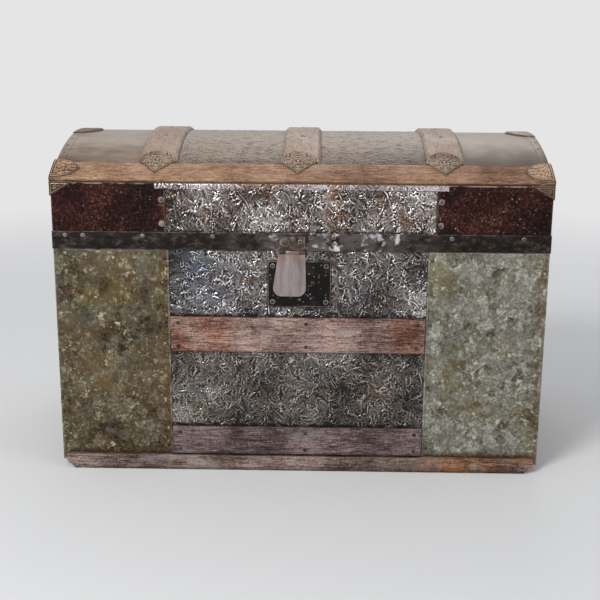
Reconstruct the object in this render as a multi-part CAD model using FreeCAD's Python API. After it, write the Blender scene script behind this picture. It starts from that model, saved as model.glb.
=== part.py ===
"""Dome top trunk: a pine box under a hinged barrel lid, cased in sheet metal and bound with wooden slats.

Millimetres. +Z is up, +X is to the right seen from the front, and the front looks along -Y.
The origin is on the floor, under the middle of the trunk.
"""

import FreeCAD, Part
import math
import os

from FreeCAD import Vector

# ---------------------------------------------------------------- driving dimensions

width = 813.0  # over the sheet metal of the two ends
depth = 457.0  # over the sheet metal of front and back
rim_height = 381.0  # floor to the top of the box walls
lid_gap = 0.7  # daylight between the box and the closed lid
lid_wall = 109.3  # lid's lower edge to the arris, where its front turns into the dome
dome_rise = 64.5  # arris to the crest of the dome sheet

sheet = 0.8  # tinned and galvanised casing
board = 12.0  # pine walls of the box
lid_board = 11.0  # pine walls of the lid, thinner so that the lid clears the rim lips
bottom_board = 12.0
floor_clearance = 12.0  # floor to the underside of the box
stave = 9.0
stave_count = 9
dome_fold = 9.5  # how far the dome sheets are turned down over the lid's front and back

casing_seam_left = 217.0  # box front: middle to the edge of the left galvanised sheet
casing_seam_right = 209.0
lid_seam = 220.0  # lid front: middle to the edge of a painted end sheet

slat = 7.0  # thickness of every slat and strap
slat_chamfer = 1.5
upper_slat_drop = 111.5  # rim down to the upper slats' upper edge
upper_slat_height = 60.0
lower_slat_height = 50.0
slat_end_gap = 1.0  # slat end to the edge of the sheet beside it
end_slat_length = 396.0

runner_height = 25.5
runner_proud = 12.0
runner_inboard = 30.0  # how far a runner reaches under the box
runner_inset = 8.0  # runner end to the end of the box
runner_chamfer = 15.0
sole_slat_width = 55.0
sole_slat_spacing = 150.0
sole_slat_inset = 20.0

rim_lip = 5.0
rim_lip_above = 12.0
rim_lip_below = 30.0

dome_slat_foot = 1.5  # arris to the front edge of the long dome slat, along the depth
dome_slat_reach = 43.0  # arris to the rear edge of the long dome slat, along the depth
dome_slat_chamfer = 3.0
strap_width = 64.0
strap_chamfer = 5.0
strap_spacing = 238.0
strap_joint_gap = 0.5  # strap end to the long slat that it butts against

band = 1.2
band_height = 29.3

binding = 0.8
binding_width = 12.0

clamp = 1.0  # stamped iron of the corner, crest and strap clamps
corner_clamp_length = 45.0  # lid end to the tip of the leaf
corner_clamp_root = 9.0  # lid end to where the leaf meets the slat's front edge
corner_leaf_swell = 7.0  # how far the leaf's curved edges bow out
corner_flap_length = 36.0  # lid end to the inner corner of the flap on the front
corner_flap_foot = 11.0  # lid end to the inner end of the flap's lower edge
corner_flap_rise = 7.5  # how much higher that end is than the flap's outer corner
corner_clamp_drop = 22.0  # how far the clamp folds down the front
crest_clamp_length = 43.0
crest_clamp_spread = 96.0
crest_clamp_neck = 33.0  # lid end to where the leaf narrows
crest_clamp_neck_spread = 52.0  # its spread there
crest_clamp_side_spread = 58.0  # its spread on the end of the lid
strap_clamp_width = 61.0
strap_clamp_tip = 10.5  # arris to the lower tip, along the depth
strap_clamp_waist = 41.5  # arris to the widest place
strap_clamp_cheek = 63.0  # arris to where the upper curve is half way
strap_clamp_cheek_width = 44.0  # its width there
strap_clamp_top = 77.0  # arris to the upper tip
strap_clamp_offsets = (0.0, -6.0, -4.0)  # left to right, each plate's middle from its strap's

hinge_spacing = 290.0
hinge_width = 44.0
hinge_leaf = 2.5
hinge_leaf_length = 52.0
hinge_nail_inset = 8.0
hinge_barrel = 4.5  # radius
hinge_pin = 2.2  # radius
hinge_pin_head = 1.5
hinge_middle_knuckle = 16.0
hinge_axis_out = 6.2  # casing to the pin's axis
knuckle_gap = 0.4
running_clearance = 0.05

hasp_middle = -14.0  # along the width, as the hasp hangs off centre
hasp_plate = 1.5
hasp_plate_width = 41.0
hasp_plate_height = 21.0
hasp_plate_lift = 2.5  # lid's lower edge to the plate's lower edge
hasp_barrel = 3.0  # radius
hasp_pin = 1.2  # radius
hasp_middle_knuckle = 20.0
hasp_axis_out = 3.4  # band to the pin's axis
hasp_axis_drop = 1.7  # lid's lower edge down to the pin's axis
tongue = 2.0
tongue_length = 74.0  # axis to the lower end
tongue_top_left = 22.5
tongue_top_right = 21.5
tongue_foot_left = 33.0
tongue_foot_right = 23.5
tongue_corner = 14.0

lock_middle = -2.0
lock_plate = 1.5
lock_plate_width = 104.0
lock_plate_height = 76.5
lock_plate_drop = 16.5  # rim down to the plate's upper edge
lock_nail_inset = 8.0
keyhole = 3.4  # radius
keyhole_slot_width = 3.2
keyhole_slot_length = 11.0
keyhole_offset = 16.0  # plate's middle down to the keyhole
lock_case_width = 62.0
lock_case_height = 48.0
case_clearance = 0.3
bolt_length = 30.0
bolt_height = 8.0
bolt_depth = 4.0
bolt_travel = 8.0
bolt_offset = 10.0  # plate's middle up to the bolt
bolt_clearance = 0.3

bracket_drop = 25.0  # rim down to the handle brackets' upper edge
handle_span = 150.0  # between the lugs' inner faces
handle_drop = 45.0  # pivot to the middle of the grip
bail = 4.0  # radius of the iron rod
bail_bend = 9.0
bail_tail = 13.0  # how far a rod end reaches into its lug
handle_axis_out = 12.0  # casing to the pivot's axis
bracket = 2.0
bracket_width = 40.0
bracket_height = 36.0
lug = 8.0  # radius
lug_length = 16.0
bracket_nail_inset = 5.0
grip_gap = 1.0  # grip's end to the bail's bend
grip_waist = 7.0  # radius at the grip's ends
grip_belly = 9.0  # radius at its middle

tray_height = 86.0
tray_wall = 7.0
tray_bottom = 5.0
tray_clearance = 3.0  # tray to the rim lips
tray_drop = 27.0  # rim down to the tray's upper edge
tray_partition = 118.0  # trunk's middle to the partition
cleat_width = 16.0
cleat_height = 20.0
cleat_end_gap = 30.0

hasp_nails = ((-12.0, 13.0), (1.5, 17.0), (13.0, 13.0))  # from the plate's lower middle
band_nails_from_hasp = (-245.0, -130.0, -27.0, 30.0, 68.0, 163.0, 260.0)
band_nails_from_left = (20.5, 49.5)  # from the lid's left end
band_nails_from_right = (43.5,)
lock_spare_nail = (22.0, 2.0)  # from the lock plate's middle
slat_nail_middle = 10.0
nail_head = 3.4  # radius
nail_head_height = 1.5
nail_shank = 1.1  # radius
nail_length = 8.0
slat_nail_length = 14.0
band_nail_drop = 6.5  # band's upper edge down to its nails
nail_pitch = 100.0
casing_nail_pitch = 160.0
seam_nail_inset = 7.0
slat_nail_inset = 14.0  # slat end to its first nail
slat_nail_margin = 10.0  # slat edge to its nails
lid_seam_nail_low = 14.0  # band to the lower seam nail
lid_seam_nail_high = 27.0  # arris down to the upper seam nail
binding_nail_pitch = 42.0
crest_nail_gap = 75.0  # strap clamp to the strap's first nail

over = 1.0  # how far cutting tools reach past what they cut

# ---------------------------------------------------------------- what follows from them

half_width = width / 2
half_depth = depth / 2
wood_half_width = half_width - sheet
wood_half_depth = half_depth - sheet
lid_bottom = rim_height + lid_gap
arris_height = lid_bottom + lid_wall
upper_slat_bottom = rim_height - upper_slat_drop - upper_slat_height
handle_height = rim_height - bracket_drop - bracket_height / 2
tray_seat = rim_height - tray_drop - tray_height
dome_outer = (half_depth**2 + dome_rise**2) / (2 * dome_rise)  # radius over the dome sheet
dome_axis = arris_height + dome_rise - dome_outer  # height of the dome's axis
dome_wood = dome_outer - sheet
dome_inner = dome_wood - stave
dome_slat_top = dome_outer + slat
strap_middles = (-strap_spacing, 0.0, strap_spacing)
inner_half_width = wood_half_width - board
inner_half_depth = wood_half_depth - board
hinge_axis_height = rim_height + lid_gap / 2
hinge_axis_y = half_depth + hinge_axis_out
hasp_axis_y = -(half_depth + band + hasp_axis_out)
hasp_axis_height = lid_bottom - hasp_axis_drop
lock_middle_height = rim_height - lock_plate_drop - lock_plate_height / 2
lower_slat_bottom = runner_height + slat_end_gap
lip_inner_half_width = inner_half_width - rim_lip
lip_inner_half_depth = inner_half_depth - rim_lip
tall = arris_height + dome_rise + 100.0  # above everything, for cutting tools

# ---------------------------------------------------------------- helpers

os.makedirs("parts", exist_ok=True)


def save(name, *solids):
    """Writes one node, which may hold several separate solids."""
    shape = solids[0] if len(solids) == 1 else Part.makeCompound(list(solids))
    shape.exportStep(os.path.join("parts", name + ".step"))


def block(x0, x1, y0, y1, z0, z1):
    """Box between two corners, given in either order."""
    x0, x1 = sorted((x0, x1))
    y0, y1 = sorted((y0, y1))
    z0, z1 = sorted((z0, z1))
    return Part.makeBox(x1 - x0, y1 - y0, z1 - z0, Vector(x0, y0, z0))


def barrel(radius, x0=-width, x1=width):
    """Cylinder about the dome's axis, which runs along the width."""
    return Part.makeCylinder(radius, x1 - x0, Vector(x0, 0, dome_axis), Vector(1, 0, 0))


def rod_x(radius, x0, x1, y, z):
    return Part.makeCylinder(radius, x1 - x0, Vector(x0, y, z), Vector(1, 0, 0))


def rod_y(radius, y0, y1, x, z):
    return Part.makeCylinder(radius, y1 - y0, Vector(x, y0, z), Vector(0, 1, 0))


def chamfered(solid, size, picked):
    """Chamfers the straight edges for which picked(edge) is true."""
    return solid.makeChamfer(size, [e for e in solid.Edges if picked(e)])


def along(edge, axis):
    return abs(abs(edge.tangentAt(edge.FirstParameter).dot(axis)) - 1) < 1e-6


def lean(y):
    """Angle from the dome's crest to a depth y of the dome sheet, positive towards the front."""
    return math.asin(-y / dome_outer)


def polar(radius, angle, x=0.0):
    """Point on the dome's section, at an angle from the crest towards the front."""
    return Vector(x, -radius * math.sin(angle), dome_axis + radius * math.cos(angle))


def dome_strip(r0, r1, a0, a1, x0, x1, bevel=0.0):
    """Strip of the dome between two radii and two angles, its outer long edges bevelled."""
    turn = bevel / r1
    outline = [
        Part.Arc(polar(r0, a0), polar(r0, (a0 + a1) / 2), polar(r0, a1)).toShape(),
        Part.LineSegment(polar(r0, a1), polar(r1 - bevel, a1)).toShape(),
        Part.Arc(polar(r1, a1 - turn), polar(r1, (a0 + a1) / 2), polar(r1, a0 + turn)).toShape(),
        Part.LineSegment(polar(r1 - bevel, a0), polar(r0, a0)).toShape(),
    ]
    if bevel:
        outline.insert(2, Part.LineSegment(polar(r1 - bevel, a1), polar(r1, a1 - turn)).toShape())
        outline.insert(4, Part.LineSegment(polar(r1, a0 + turn), polar(r1 - bevel, a0)).toShape())
    face = Part.Face(Part.Wire(outline))
    face.translate(Vector(x0, 0, 0))
    return face.extrude(Vector(x1 - x0, 0, 0))


def mirrored_x(solid):
    return solid.mirror(Vector(0, 0, 0), Vector(1, 0, 0))


def mirrored_y(solid):
    return solid.mirror(Vector(0, 0, 0), Vector(0, 1, 0))


def plan_prism(edges):
    """Tall prism over an outline drawn in plan."""
    return Part.Face(Part.Wire(edges)).extrude(Vector(0, 0, tall))


def line(p, q):
    return Part.LineSegment(p, q).toShape()


def arc(p, m, q):
    return Part.Arc(p, m, q).toShape()


# ---------------------------------------------------------------- box: pine carcass

# Front and back boards run the full width, the ends stand between them, and the bottom lies inside all four.
window_half_width = lock_case_width / 2 + case_clearance
window_half_height = lock_case_height / 2 + case_clearance
lock_window = block(
    lock_middle - window_half_width,
    lock_middle + window_half_width,
    -half_depth - sheet,
    -inner_half_depth + sheet,
    lock_middle_height - window_half_height,
    lock_middle_height + window_half_height,
)
front_board = block(
    -wood_half_width, wood_half_width, -wood_half_depth, -inner_half_depth, floor_clearance, rim_height
)
back_board = block(
    -wood_half_width, wood_half_width, inner_half_depth, wood_half_depth, floor_clearance, rim_height
)
right_board = block(
    inner_half_width, wood_half_width, -inner_half_depth, inner_half_depth, floor_clearance, rim_height
)
bottom = block(
    -inner_half_width,
    inner_half_width,
    -inner_half_depth,
    inner_half_depth,
    floor_clearance,
    floor_clearance + bottom_board,
)
save("box_front_board", front_board.cut(lock_window))
save("box_back_board", back_board)
save("box_right_board", right_board)
save("box_left_board", mirrored_x(right_board))
save("box_bottom_board", bottom)

# Thin lips inside the rim, which the closed lid fits over.
lip_low = rim_height - rim_lip_below
lip_high = rim_height + rim_lip_above
front_lip = block(
    -inner_half_width, inner_half_width, -inner_half_depth, -lip_inner_half_depth, lip_low, lip_high
)
right_lip = block(
    lip_inner_half_width, inner_half_width, -lip_inner_half_depth, lip_inner_half_depth, lip_low, lip_high
)
save("rim_lips", front_lip, mirrored_y(front_lip), right_lip, mirrored_x(right_lip))

# ---------------------------------------------------------------- box: runners and sole slats

# Each runner is rebated: the box stands on its inner part and its front part covers the lower edge.
runner_half_length = half_width - runner_inset


def runner():
    bar = block(
        -runner_half_length,
        runner_half_length,
        -half_depth - runner_proud,
        -half_depth + runner_inboard,
        0,
        runner_height,
    )
    rebate = block(-width, width, -half_depth, depth, floor_clearance, tall)
    bar = bar.cut(rebate)
    return chamfered(
        bar,
        runner_chamfer,
        lambda e: along(e, Vector(0, 1, 0)) and e.BoundBox.ZMax < 1e-6,
    )


front_runner = runner()
save("bottom_runners", front_runner, mirrored_y(front_runner))

sole_half_length = half_width - sole_slat_inset
sole_slat = block(
    -sole_half_length,
    sole_half_length,
    sole_slat_spacing / 2 - sole_slat_width / 2,
    sole_slat_spacing / 2 + sole_slat_width / 2,
    0,
    floor_clearance,
)
save("sole_slats", sole_slat, mirrored_y(sole_slat))

# ---------------------------------------------------------------- box: sheet metal casing


def wrapped_sheet(low, high, seam):
    """Sheet folded round the right end, from a seam on the front to the same place on the back."""
    outer = block(seam, half_width, -half_depth, half_depth, low, high)
    inner = block(
        seam - over, wood_half_width, -wood_half_depth, wood_half_depth, low - over, high + over
    )
    return outer.cut(inner)


save("box_casing_right", wrapped_sheet(floor_clearance, rim_height, casing_seam_right))
save("box_casing_left", mirrored_x(wrapped_sheet(floor_clearance, rim_height, casing_seam_left)))

front_tin = block(
    -casing_seam_left, casing_seam_right, -half_depth, -wood_half_depth, floor_clearance, rim_height
)
back_tin = block(
    -casing_seam_left, casing_seam_right, wood_half_depth, half_depth, floor_clearance, rim_height
)
save("box_embossed_sheets", front_tin.cut(lock_window), back_tin)

# ---------------------------------------------------------------- box: slats


def front_slat(low, height):
    """Flat slat on the front, butted between the two galvanised sheets, its outer edges eased."""
    bar = block(
        -casing_seam_left + slat_end_gap,
        casing_seam_right - slat_end_gap,
        -half_depth - slat,
        -half_depth,
        low,
        low + height,
    )
    return chamfered(
        bar,
        slat_chamfer,
        lambda e: along(e, Vector(1, 0, 0)) and e.BoundBox.YMax < -half_depth - slat / 2,
    )


def end_slat(low, height):
    bar = block(half_width, half_width + slat, -end_slat_length / 2, end_slat_length / 2, low, low + height)
    return chamfered(
        bar,
        slat_chamfer,
        lambda e: along(e, Vector(0, 1, 0)) and e.BoundBox.XMin > half_width + slat / 2,
    )


upper_front_slat = front_slat(upper_slat_bottom, upper_slat_height)
lower_front_slat = front_slat(lower_slat_bottom, lower_slat_height)
upper_end_slat = end_slat(upper_slat_bottom, upper_slat_height)
lower_end_slat = end_slat(lower_slat_bottom, lower_slat_height)
save("front_slat_upper", upper_front_slat)
save("front_slat_lower", lower_front_slat)
save("back_slats", mirrored_y(upper_front_slat), mirrored_y(lower_front_slat))
save("end_slats", upper_end_slat, lower_end_slat, mirrored_x(upper_end_slat), mirrored_x(lower_end_slat))

# ---------------------------------------------------------------- lid: pine carcass and staves

lid_inner_half_width = wood_half_width - lid_board
lid_inner_half_depth = wood_half_depth - lid_board
under_staves = barrel(dome_inner)
lid_front = block(
    -wood_half_width, wood_half_width, -wood_half_depth, -lid_inner_half_depth, lid_bottom, tall
).common(under_staves)
lid_end = block(
    lid_inner_half_width, wood_half_width, -lid_inner_half_depth, lid_inner_half_depth, lid_bottom, tall
).common(under_staves)
save("lid_front_board", lid_front)
save("lid_back_board", mirrored_y(lid_front))
save("lid_right_board", lid_end)
save("lid_left_board", mirrored_x(lid_end))

# Nine staves close the dome, trimmed flush with the front and back boards.
dome_reach = math.asin(wood_half_depth / dome_inner)
trim = block(-width, width, -wood_half_depth, wood_half_depth, 0, tall)
staves = []
for i in range(stave_count):
    a0 = -dome_reach + 2 * dome_reach * i / stave_count
    a1 = -dome_reach + 2 * dome_reach * (i + 1) / stave_count
    staves.append(dome_strip(dome_inner, dome_wood, a0, a1, -wood_half_width, wood_half_width).common(trim))
save("dome_staves", *staves)

# ---------------------------------------------------------------- lid: sheet metal

inside_dome_sheet = barrel(dome_wood)
lid_casing_right = wrapped_sheet(lid_bottom, tall, lid_seam).common(inside_dome_sheet)
save("lid_casing_right", lid_casing_right)
save("lid_casing_left", mirrored_x(lid_casing_right))
lid_front_tin = block(
    -lid_seam, lid_seam, -half_depth, -wood_half_depth, lid_bottom, tall
).common(inside_dome_sheet)
save("lid_embossed_sheets", lid_front_tin, mirrored_y(lid_front_tin))


def dome_sheet(x0, x1):
    """Sheet over the dome, its front and back edges turned down over the lid's walls."""
    shell = barrel(dome_outer, x0, x1).cut(barrel(dome_wood))
    shell = shell.common(block(-width, width, -half_depth, half_depth, arris_height - dome_fold, tall))
    fold = block(x0, x1, -half_depth - sheet, -half_depth, arris_height - dome_fold, arris_height)
    return shell.fuse([fold, mirrored_y(fold)]).removeSplitter()


right_dome_sheet = dome_sheet(strap_spacing, half_width)
save("dome_sheet_left", dome_sheet(-half_width, -strap_spacing))
save("dome_embossed_sheets", dome_sheet(-strap_spacing, 0), dome_sheet(0, strap_spacing))
save("dome_sheet_right", right_dome_sheet)

# ---------------------------------------------------------------- lid: iron band round the lower edge

band_top = lid_bottom + band_height
front_band = block(
    -half_width - band, half_width + band, -half_depth - band, -half_depth, lid_bottom, band_top
)
end_band = block(half_width, half_width + band, -half_depth, half_depth, lid_bottom, band_top)
save("lid_bands", front_band, mirrored_y(front_band), end_band, mirrored_x(end_band))

# ---------------------------------------------------------------- lid: slats, straps and edge bindings

slat_low_angle = lean(-half_depth + dome_slat_foot)
slat_high_angle = lean(-half_depth + dome_slat_reach)
slat_half_length = half_width + binding
front_dome_slat = dome_strip(
    dome_outer,
    dome_slat_top,
    slat_high_angle,
    slat_low_angle,
    -slat_half_length,
    slat_half_length,
    dome_slat_chamfer,
)
save("dome_slat_front", front_dome_slat)
save("dome_slat_back", mirrored_y(front_dome_slat))

strap_angle = slat_high_angle - strap_joint_gap / dome_outer


def strap(middle):
    """Bent strap over the dome with bevelled edges, revolved about the dome's axis."""
    foot = strap_width / 2
    top = foot - strap_chamfer
    corners = [
        Vector(middle - foot, 0, dome_axis + dome_outer),
        Vector(middle + foot, 0, dome_axis + dome_outer),
        Vector(middle + foot, 0, dome_axis + dome_slat_top - strap_chamfer),
        Vector(middle + top, 0, dome_axis + dome_slat_top),
        Vector(middle - top, 0, dome_axis + dome_slat_top),
        Vector(middle - foot, 0, dome_axis + dome_slat_top - strap_chamfer),
    ]
    section = Part.Face(Part.makePolygon(corners + corners[:1]))
    section.rotate(Vector(0, 0, dome_axis), Vector(1, 0, 0), math.degrees(strap_angle))
    return section.revolve(Vector(0, 0, dome_axis), Vector(1, 0, 0), -2 * math.degrees(strap_angle))


for name, middle in zip(("left", "middle", "right"), strap_middles):
    save("dome_strap_" + name, strap(middle))


# Angle binding over each end edge of the dome, between the two long slats.
def edge_binding():
    top = dome_strip(
        dome_outer,
        dome_outer + binding,
        -strap_angle,
        strap_angle,
        half_width - binding_width,
        half_width + binding,
    )
    side = dome_strip(
        dome_outer - binding_width,
        dome_outer + binding,
        -strap_angle,
        strap_angle,
        half_width,
        half_width + binding,
    )
    return top.fuse(side).removeSplitter()


right_binding = edge_binding()
save("dome_edge_bindings", right_binding, mirrored_x(right_binding))

# ---------------------------------------------------------------- lid: stamped clamps


def strap_clamp(middle):
    """Shield-shaped plate over the joint of a strap and the front slat."""
    half = strap_clamp_width / 2
    low = Vector(middle, -half_depth + strap_clamp_tip, 0)
    high = Vector(middle, -half_depth + strap_clamp_top, 0)
    left = Vector(middle - half, -half_depth + strap_clamp_waist, 0)
    right = Vector(middle + half, -half_depth + strap_clamp_waist, 0)
    cheek = -half_depth + strap_clamp_cheek
    left_mid = Vector(middle - strap_clamp_cheek_width / 2, cheek, 0)
    right_mid = Vector(middle + strap_clamp_cheek_width / 2, cheek, 0)
    outline = [
        line(low, right),
        arc(right, right_mid, high),
        arc(high, left_mid, left),
        line(left, low),
    ]
    shell = barrel(dome_slat_top + clamp).cut(barrel(dome_slat_top))
    return plan_prism(outline).common(shell)


front_clamps = [strap_clamp(m + off) for m, off in zip(strap_middles, strap_clamp_offsets)]
save("strap_clamps", *front_clamps, *[mirrored_y(c) for c in front_clamps])


def corner_clamp():
    """Leaf over the right front end of the long slat, folded down the end and the front of the lid."""
    end = slat_half_length + clamp
    seat = half_depth + sheet
    tip = half_width - corner_clamp_length
    root = half_width - corner_clamp_root
    front = -seat - clamp
    leaf_back = -half_depth + dome_slat_reach
    leaf_middle = (-half_depth + leaf_back) / 2
    waist = (tip + root) / 2
    leaf_tip = Vector(tip, leaf_middle, 0)
    back_corner, front_corner = Vector(end, leaf_back, 0), Vector(end, front, 0)
    back_bow = Vector(waist, (leaf_middle + leaf_back) / 2 + corner_leaf_swell, 0)
    front_bow = Vector(waist, (leaf_middle + front) / 2 - corner_leaf_swell, 0)
    leaf = plan_prism(
        [
            line(front_corner, back_corner),
            arc(back_corner, back_bow, leaf_tip),
            arc(leaf_tip, front_bow, Vector(root, front, 0)),
            line(Vector(root, front, 0), front_corner),
        ]
    )
    face_angle = slat_low_angle + clamp / dome_outer
    top = dome_strip(dome_slat_top, dome_slat_top + clamp, slat_high_angle, face_angle, tip, end)
    face = dome_strip(dome_outer, dome_slat_top + clamp, slat_low_angle, face_angle, tip, end)
    slat_cap = dome_strip(
        dome_outer, dome_slat_top + clamp, slat_high_angle, face_angle, slat_half_length, end
    )
    wall_cap = dome_strip(
        dome_outer - corner_clamp_drop, dome_outer, slat_high_angle, slat_low_angle, half_width, end
    )
    flap_low = arris_height - corner_clamp_drop
    slat_foot = -half_depth + dome_slat_foot + clamp
    flap_start = half_width - corner_flap_length
    side = block(half_width, end, front, slat_foot, flap_low, arris_height + clamp)
    flap_edge = [
        Vector(flap_start, front, arris_height),
        Vector(end, front, arris_height),
        Vector(end, front, flap_low),
        Vector(half_width - corner_flap_foot, front, flap_low + corner_flap_rise),
    ]
    flap = Part.Face(Part.makePolygon(flap_edge + flap_edge[:1])).extrude(Vector(0, clamp + sheet, 0))
    arris_lip = block(flap_start, end, front, slat_foot, arris_height, arris_height + clamp)
    plate = top.common(leaf).fuse([face.common(leaf), slat_cap, wall_cap, side, flap, arris_lip])
    lid_body = barrel(dome_outer, 0, half_width).common(
        block(0, half_width, -half_depth, half_depth, lid_bottom, tall)
    )
    return plate.cut(lid_body).cut(front_dome_slat).cut(right_dome_sheet)


right_corner = corner_clamp()
corners = [right_corner, mirrored_x(right_corner)]
save("corner_clamps", *corners, *[mirrored_y(c) for c in corners])


def crest_clamp():
    """Half-leaf over the middle of the right edge binding, folded down the end."""
    seat = dome_outer + binding
    end = slat_half_length + clamp
    half = crest_clamp_spread / 2
    tip = half_width - crest_clamp_length
    outline = [
        line(Vector(end, -half, 0), Vector(end, half, 0)),
        arc(
            Vector(end, half, 0),
            Vector(half_width - crest_clamp_neck, crest_clamp_neck_spread / 2, 0),
            Vector(tip, 0, 0),
        ),
        arc(
            Vector(tip, 0, 0),
            Vector(half_width - crest_clamp_neck, -crest_clamp_neck_spread / 2, 0),
            Vector(end, -half, 0),
        ),
    ]
    top = plan_prism(outline).common(barrel(seat + clamp).cut(barrel(seat)))
    side = barrel(seat + clamp, slat_half_length, end).cut(barrel(dome_outer - corner_clamp_drop))
    reach = crest_clamp_side_spread / 2
    side = side.common(block(0, width, -reach, reach, dome_axis, tall))
    return top.fuse(side).removeSplitter()


right_crest = crest_clamp()
save("crest_clamps", right_crest, mirrored_x(right_crest))

# ---------------------------------------------------------------- hinges


def knuckles(spans, radius, bore, y, z):
    """Barrels along the width, bored for a pin."""
    made = [rod_x(radius, x0, x1, y, z).cut(rod_x(bore, x0 - over, x1 + over, y, z)) for x0, x1 in spans]
    return made[0] if len(made) == 1 else made[0].fuse(made[1:])


def hinge(middle):
    """One strap hinge: the box leaf with two knuckles, the lid leaf with one, and the pin."""
    half = hinge_width / 2
    inner = hinge_middle_knuckle / 2
    bore = hinge_pin + running_clearance
    clear = hinge_barrel + knuckle_gap
    outer_spans = [
        (middle - half, middle - inner - knuckle_gap),
        (middle + inner + knuckle_gap, middle + half),
    ]
    y0 = half_depth
    box_leaf = block(
        middle - half,
        middle + half,
        y0,
        y0 + hinge_leaf,
        hinge_axis_height - clear - hinge_leaf_length,
        hinge_axis_height - clear,
    )
    web_low = hinge_axis_height - clear
    webs = [block(x0, x1, y0, y0 + hinge_leaf, web_low, rim_height) for x0, x1 in outer_spans]
    outer_knuckles = knuckles(outer_spans, hinge_barrel, hinge_pin, hinge_axis_y, hinge_axis_height)
    box_leaf = box_leaf.fuse(webs + [outer_knuckles])
    seat = half_depth + band
    lid_leaf = block(
        middle - half,
        middle + half,
        seat,
        seat + hinge_leaf,
        hinge_axis_height + clear,
        band_top + hinge_leaf,
    )
    lid_leaf_upper = block(
        middle - half,
        middle + half,
        y0,
        y0 + hinge_leaf,
        band_top,
        hinge_axis_height + clear + hinge_leaf_length,
    )
    neck = block(
        middle - inner, middle + inner, seat, seat + hinge_leaf, hinge_axis_height, hinge_axis_height + clear
    )
    ring = knuckles([(middle - inner, middle + inner)], hinge_barrel, bore, hinge_axis_y, hinge_axis_height)
    lid_leaf = lid_leaf.fuse([lid_leaf_upper, neck, ring])
    pin = rod_x(
        hinge_pin,
        middle - half - hinge_pin_head,
        middle + half + hinge_pin_head,
        hinge_axis_y,
        hinge_axis_height,
    )
    return box_leaf.removeSplitter(), lid_leaf.removeSplitter(), pin


hinges = [hinge(m) for m in (-hinge_spacing, 0.0, hinge_spacing)]
save("hinge_box_leaves", *[h[0] for h in hinges])
save("hinge_lid_leaves", *[h[1] for h in hinges])
save("hinge_pins", *[h[2] for h in hinges])

# ---------------------------------------------------------------- hasp

hasp_half = hasp_plate_width / 2
hasp_inner = hasp_middle_knuckle / 2
hasp_outer_spans = [
    (hasp_middle - hasp_half, hasp_middle - hasp_inner - knuckle_gap),
    (hasp_middle + hasp_inner + knuckle_gap, hasp_middle + hasp_half),
]
hasp_seat = -half_depth - band
hasp_plate_low = lid_bottom + hasp_plate_lift
hinge_plate = block(
    hasp_middle - hasp_half,
    hasp_middle + hasp_half,
    hasp_seat - hasp_plate,
    hasp_seat,
    hasp_plate_low,
    hasp_plate_low + hasp_plate_height,
)
hasp_webs = [
    block(x0, x1, hasp_seat - hasp_plate, hasp_seat, hasp_axis_height, hasp_plate_low)
    for x0, x1 in hasp_outer_spans
]
hasp_webs = [w.cut(rod_x(hasp_barrel, -width, width, hasp_axis_y, hasp_axis_height)) for w in hasp_webs]
hinge_plate = hinge_plate.fuse(
    hasp_webs + [knuckles(hasp_outer_spans, hasp_barrel, hasp_pin, hasp_axis_y, hasp_axis_height)]
)
save("hasp_hinge_plate", hinge_plate.removeSplitter())
save(
    "hasp_pin",
    rod_x(hasp_pin, hasp_middle - hasp_half, hasp_middle + hasp_half, hasp_axis_y, hasp_axis_height),
)


def hasp_tongue():
    """Plain tongue that hangs from the hinge plate over the lock, wider at its foot."""
    top = hasp_axis_height - hasp_barrel - knuckle_gap
    foot = hasp_axis_height - tongue_length
    y = hasp_axis_y - tongue / 2
    corners = [
        Vector(hasp_middle - tongue_top_left, y, top),
        Vector(hasp_middle + tongue_top_right, y, top),
        Vector(hasp_middle + tongue_foot_right, y, foot),
        Vector(hasp_middle - tongue_foot_left, y, foot),
    ]
    plate = Part.Face(Part.makePolygon(corners + corners[:1])).extrude(Vector(0, tongue, 0))
    plate = plate.makeFillet(
        tongue_corner,
        [e for e in plate.Edges if along(e, Vector(0, 1, 0)) and e.BoundBox.ZMax < foot + over],
    )
    neck_left, neck_right = hasp_middle - hasp_inner, hasp_middle + hasp_inner
    neck = block(neck_left, neck_right, y, y + tongue, top - hasp_barrel, hasp_axis_height)
    bore = hasp_pin + running_clearance
    ring = knuckles([(neck_left, neck_right)], hasp_barrel, bore, hasp_axis_y, hasp_axis_height)
    neck = neck.cut(rod_x(bore, -width, width, hasp_axis_y, hasp_axis_height))
    return plate.fuse([neck, ring]).removeSplitter()


save("hasp_tongue", hasp_tongue())

# ---------------------------------------------------------------- lock

plate_low = lock_middle_height - lock_plate_height / 2
plate_high = lock_middle_height + lock_plate_height / 2
keyhole_height = lock_middle_height - keyhole_offset
escutcheon = block(
    lock_middle - lock_plate_width / 2,
    lock_middle + lock_plate_width / 2,
    -half_depth - lock_plate,
    -half_depth,
    plate_low,
    plate_high,
)
key_eye = rod_y(keyhole, -depth, 0, lock_middle, keyhole_height)
key_slot = block(
    lock_middle - keyhole_slot_width / 2,
    lock_middle + keyhole_slot_width / 2,
    -depth,
    0,
    keyhole_height - keyhole_slot_length,
    keyhole_height,
)
save("lock_plate", escutcheon.cut(key_eye.fuse(key_slot)))

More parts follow.
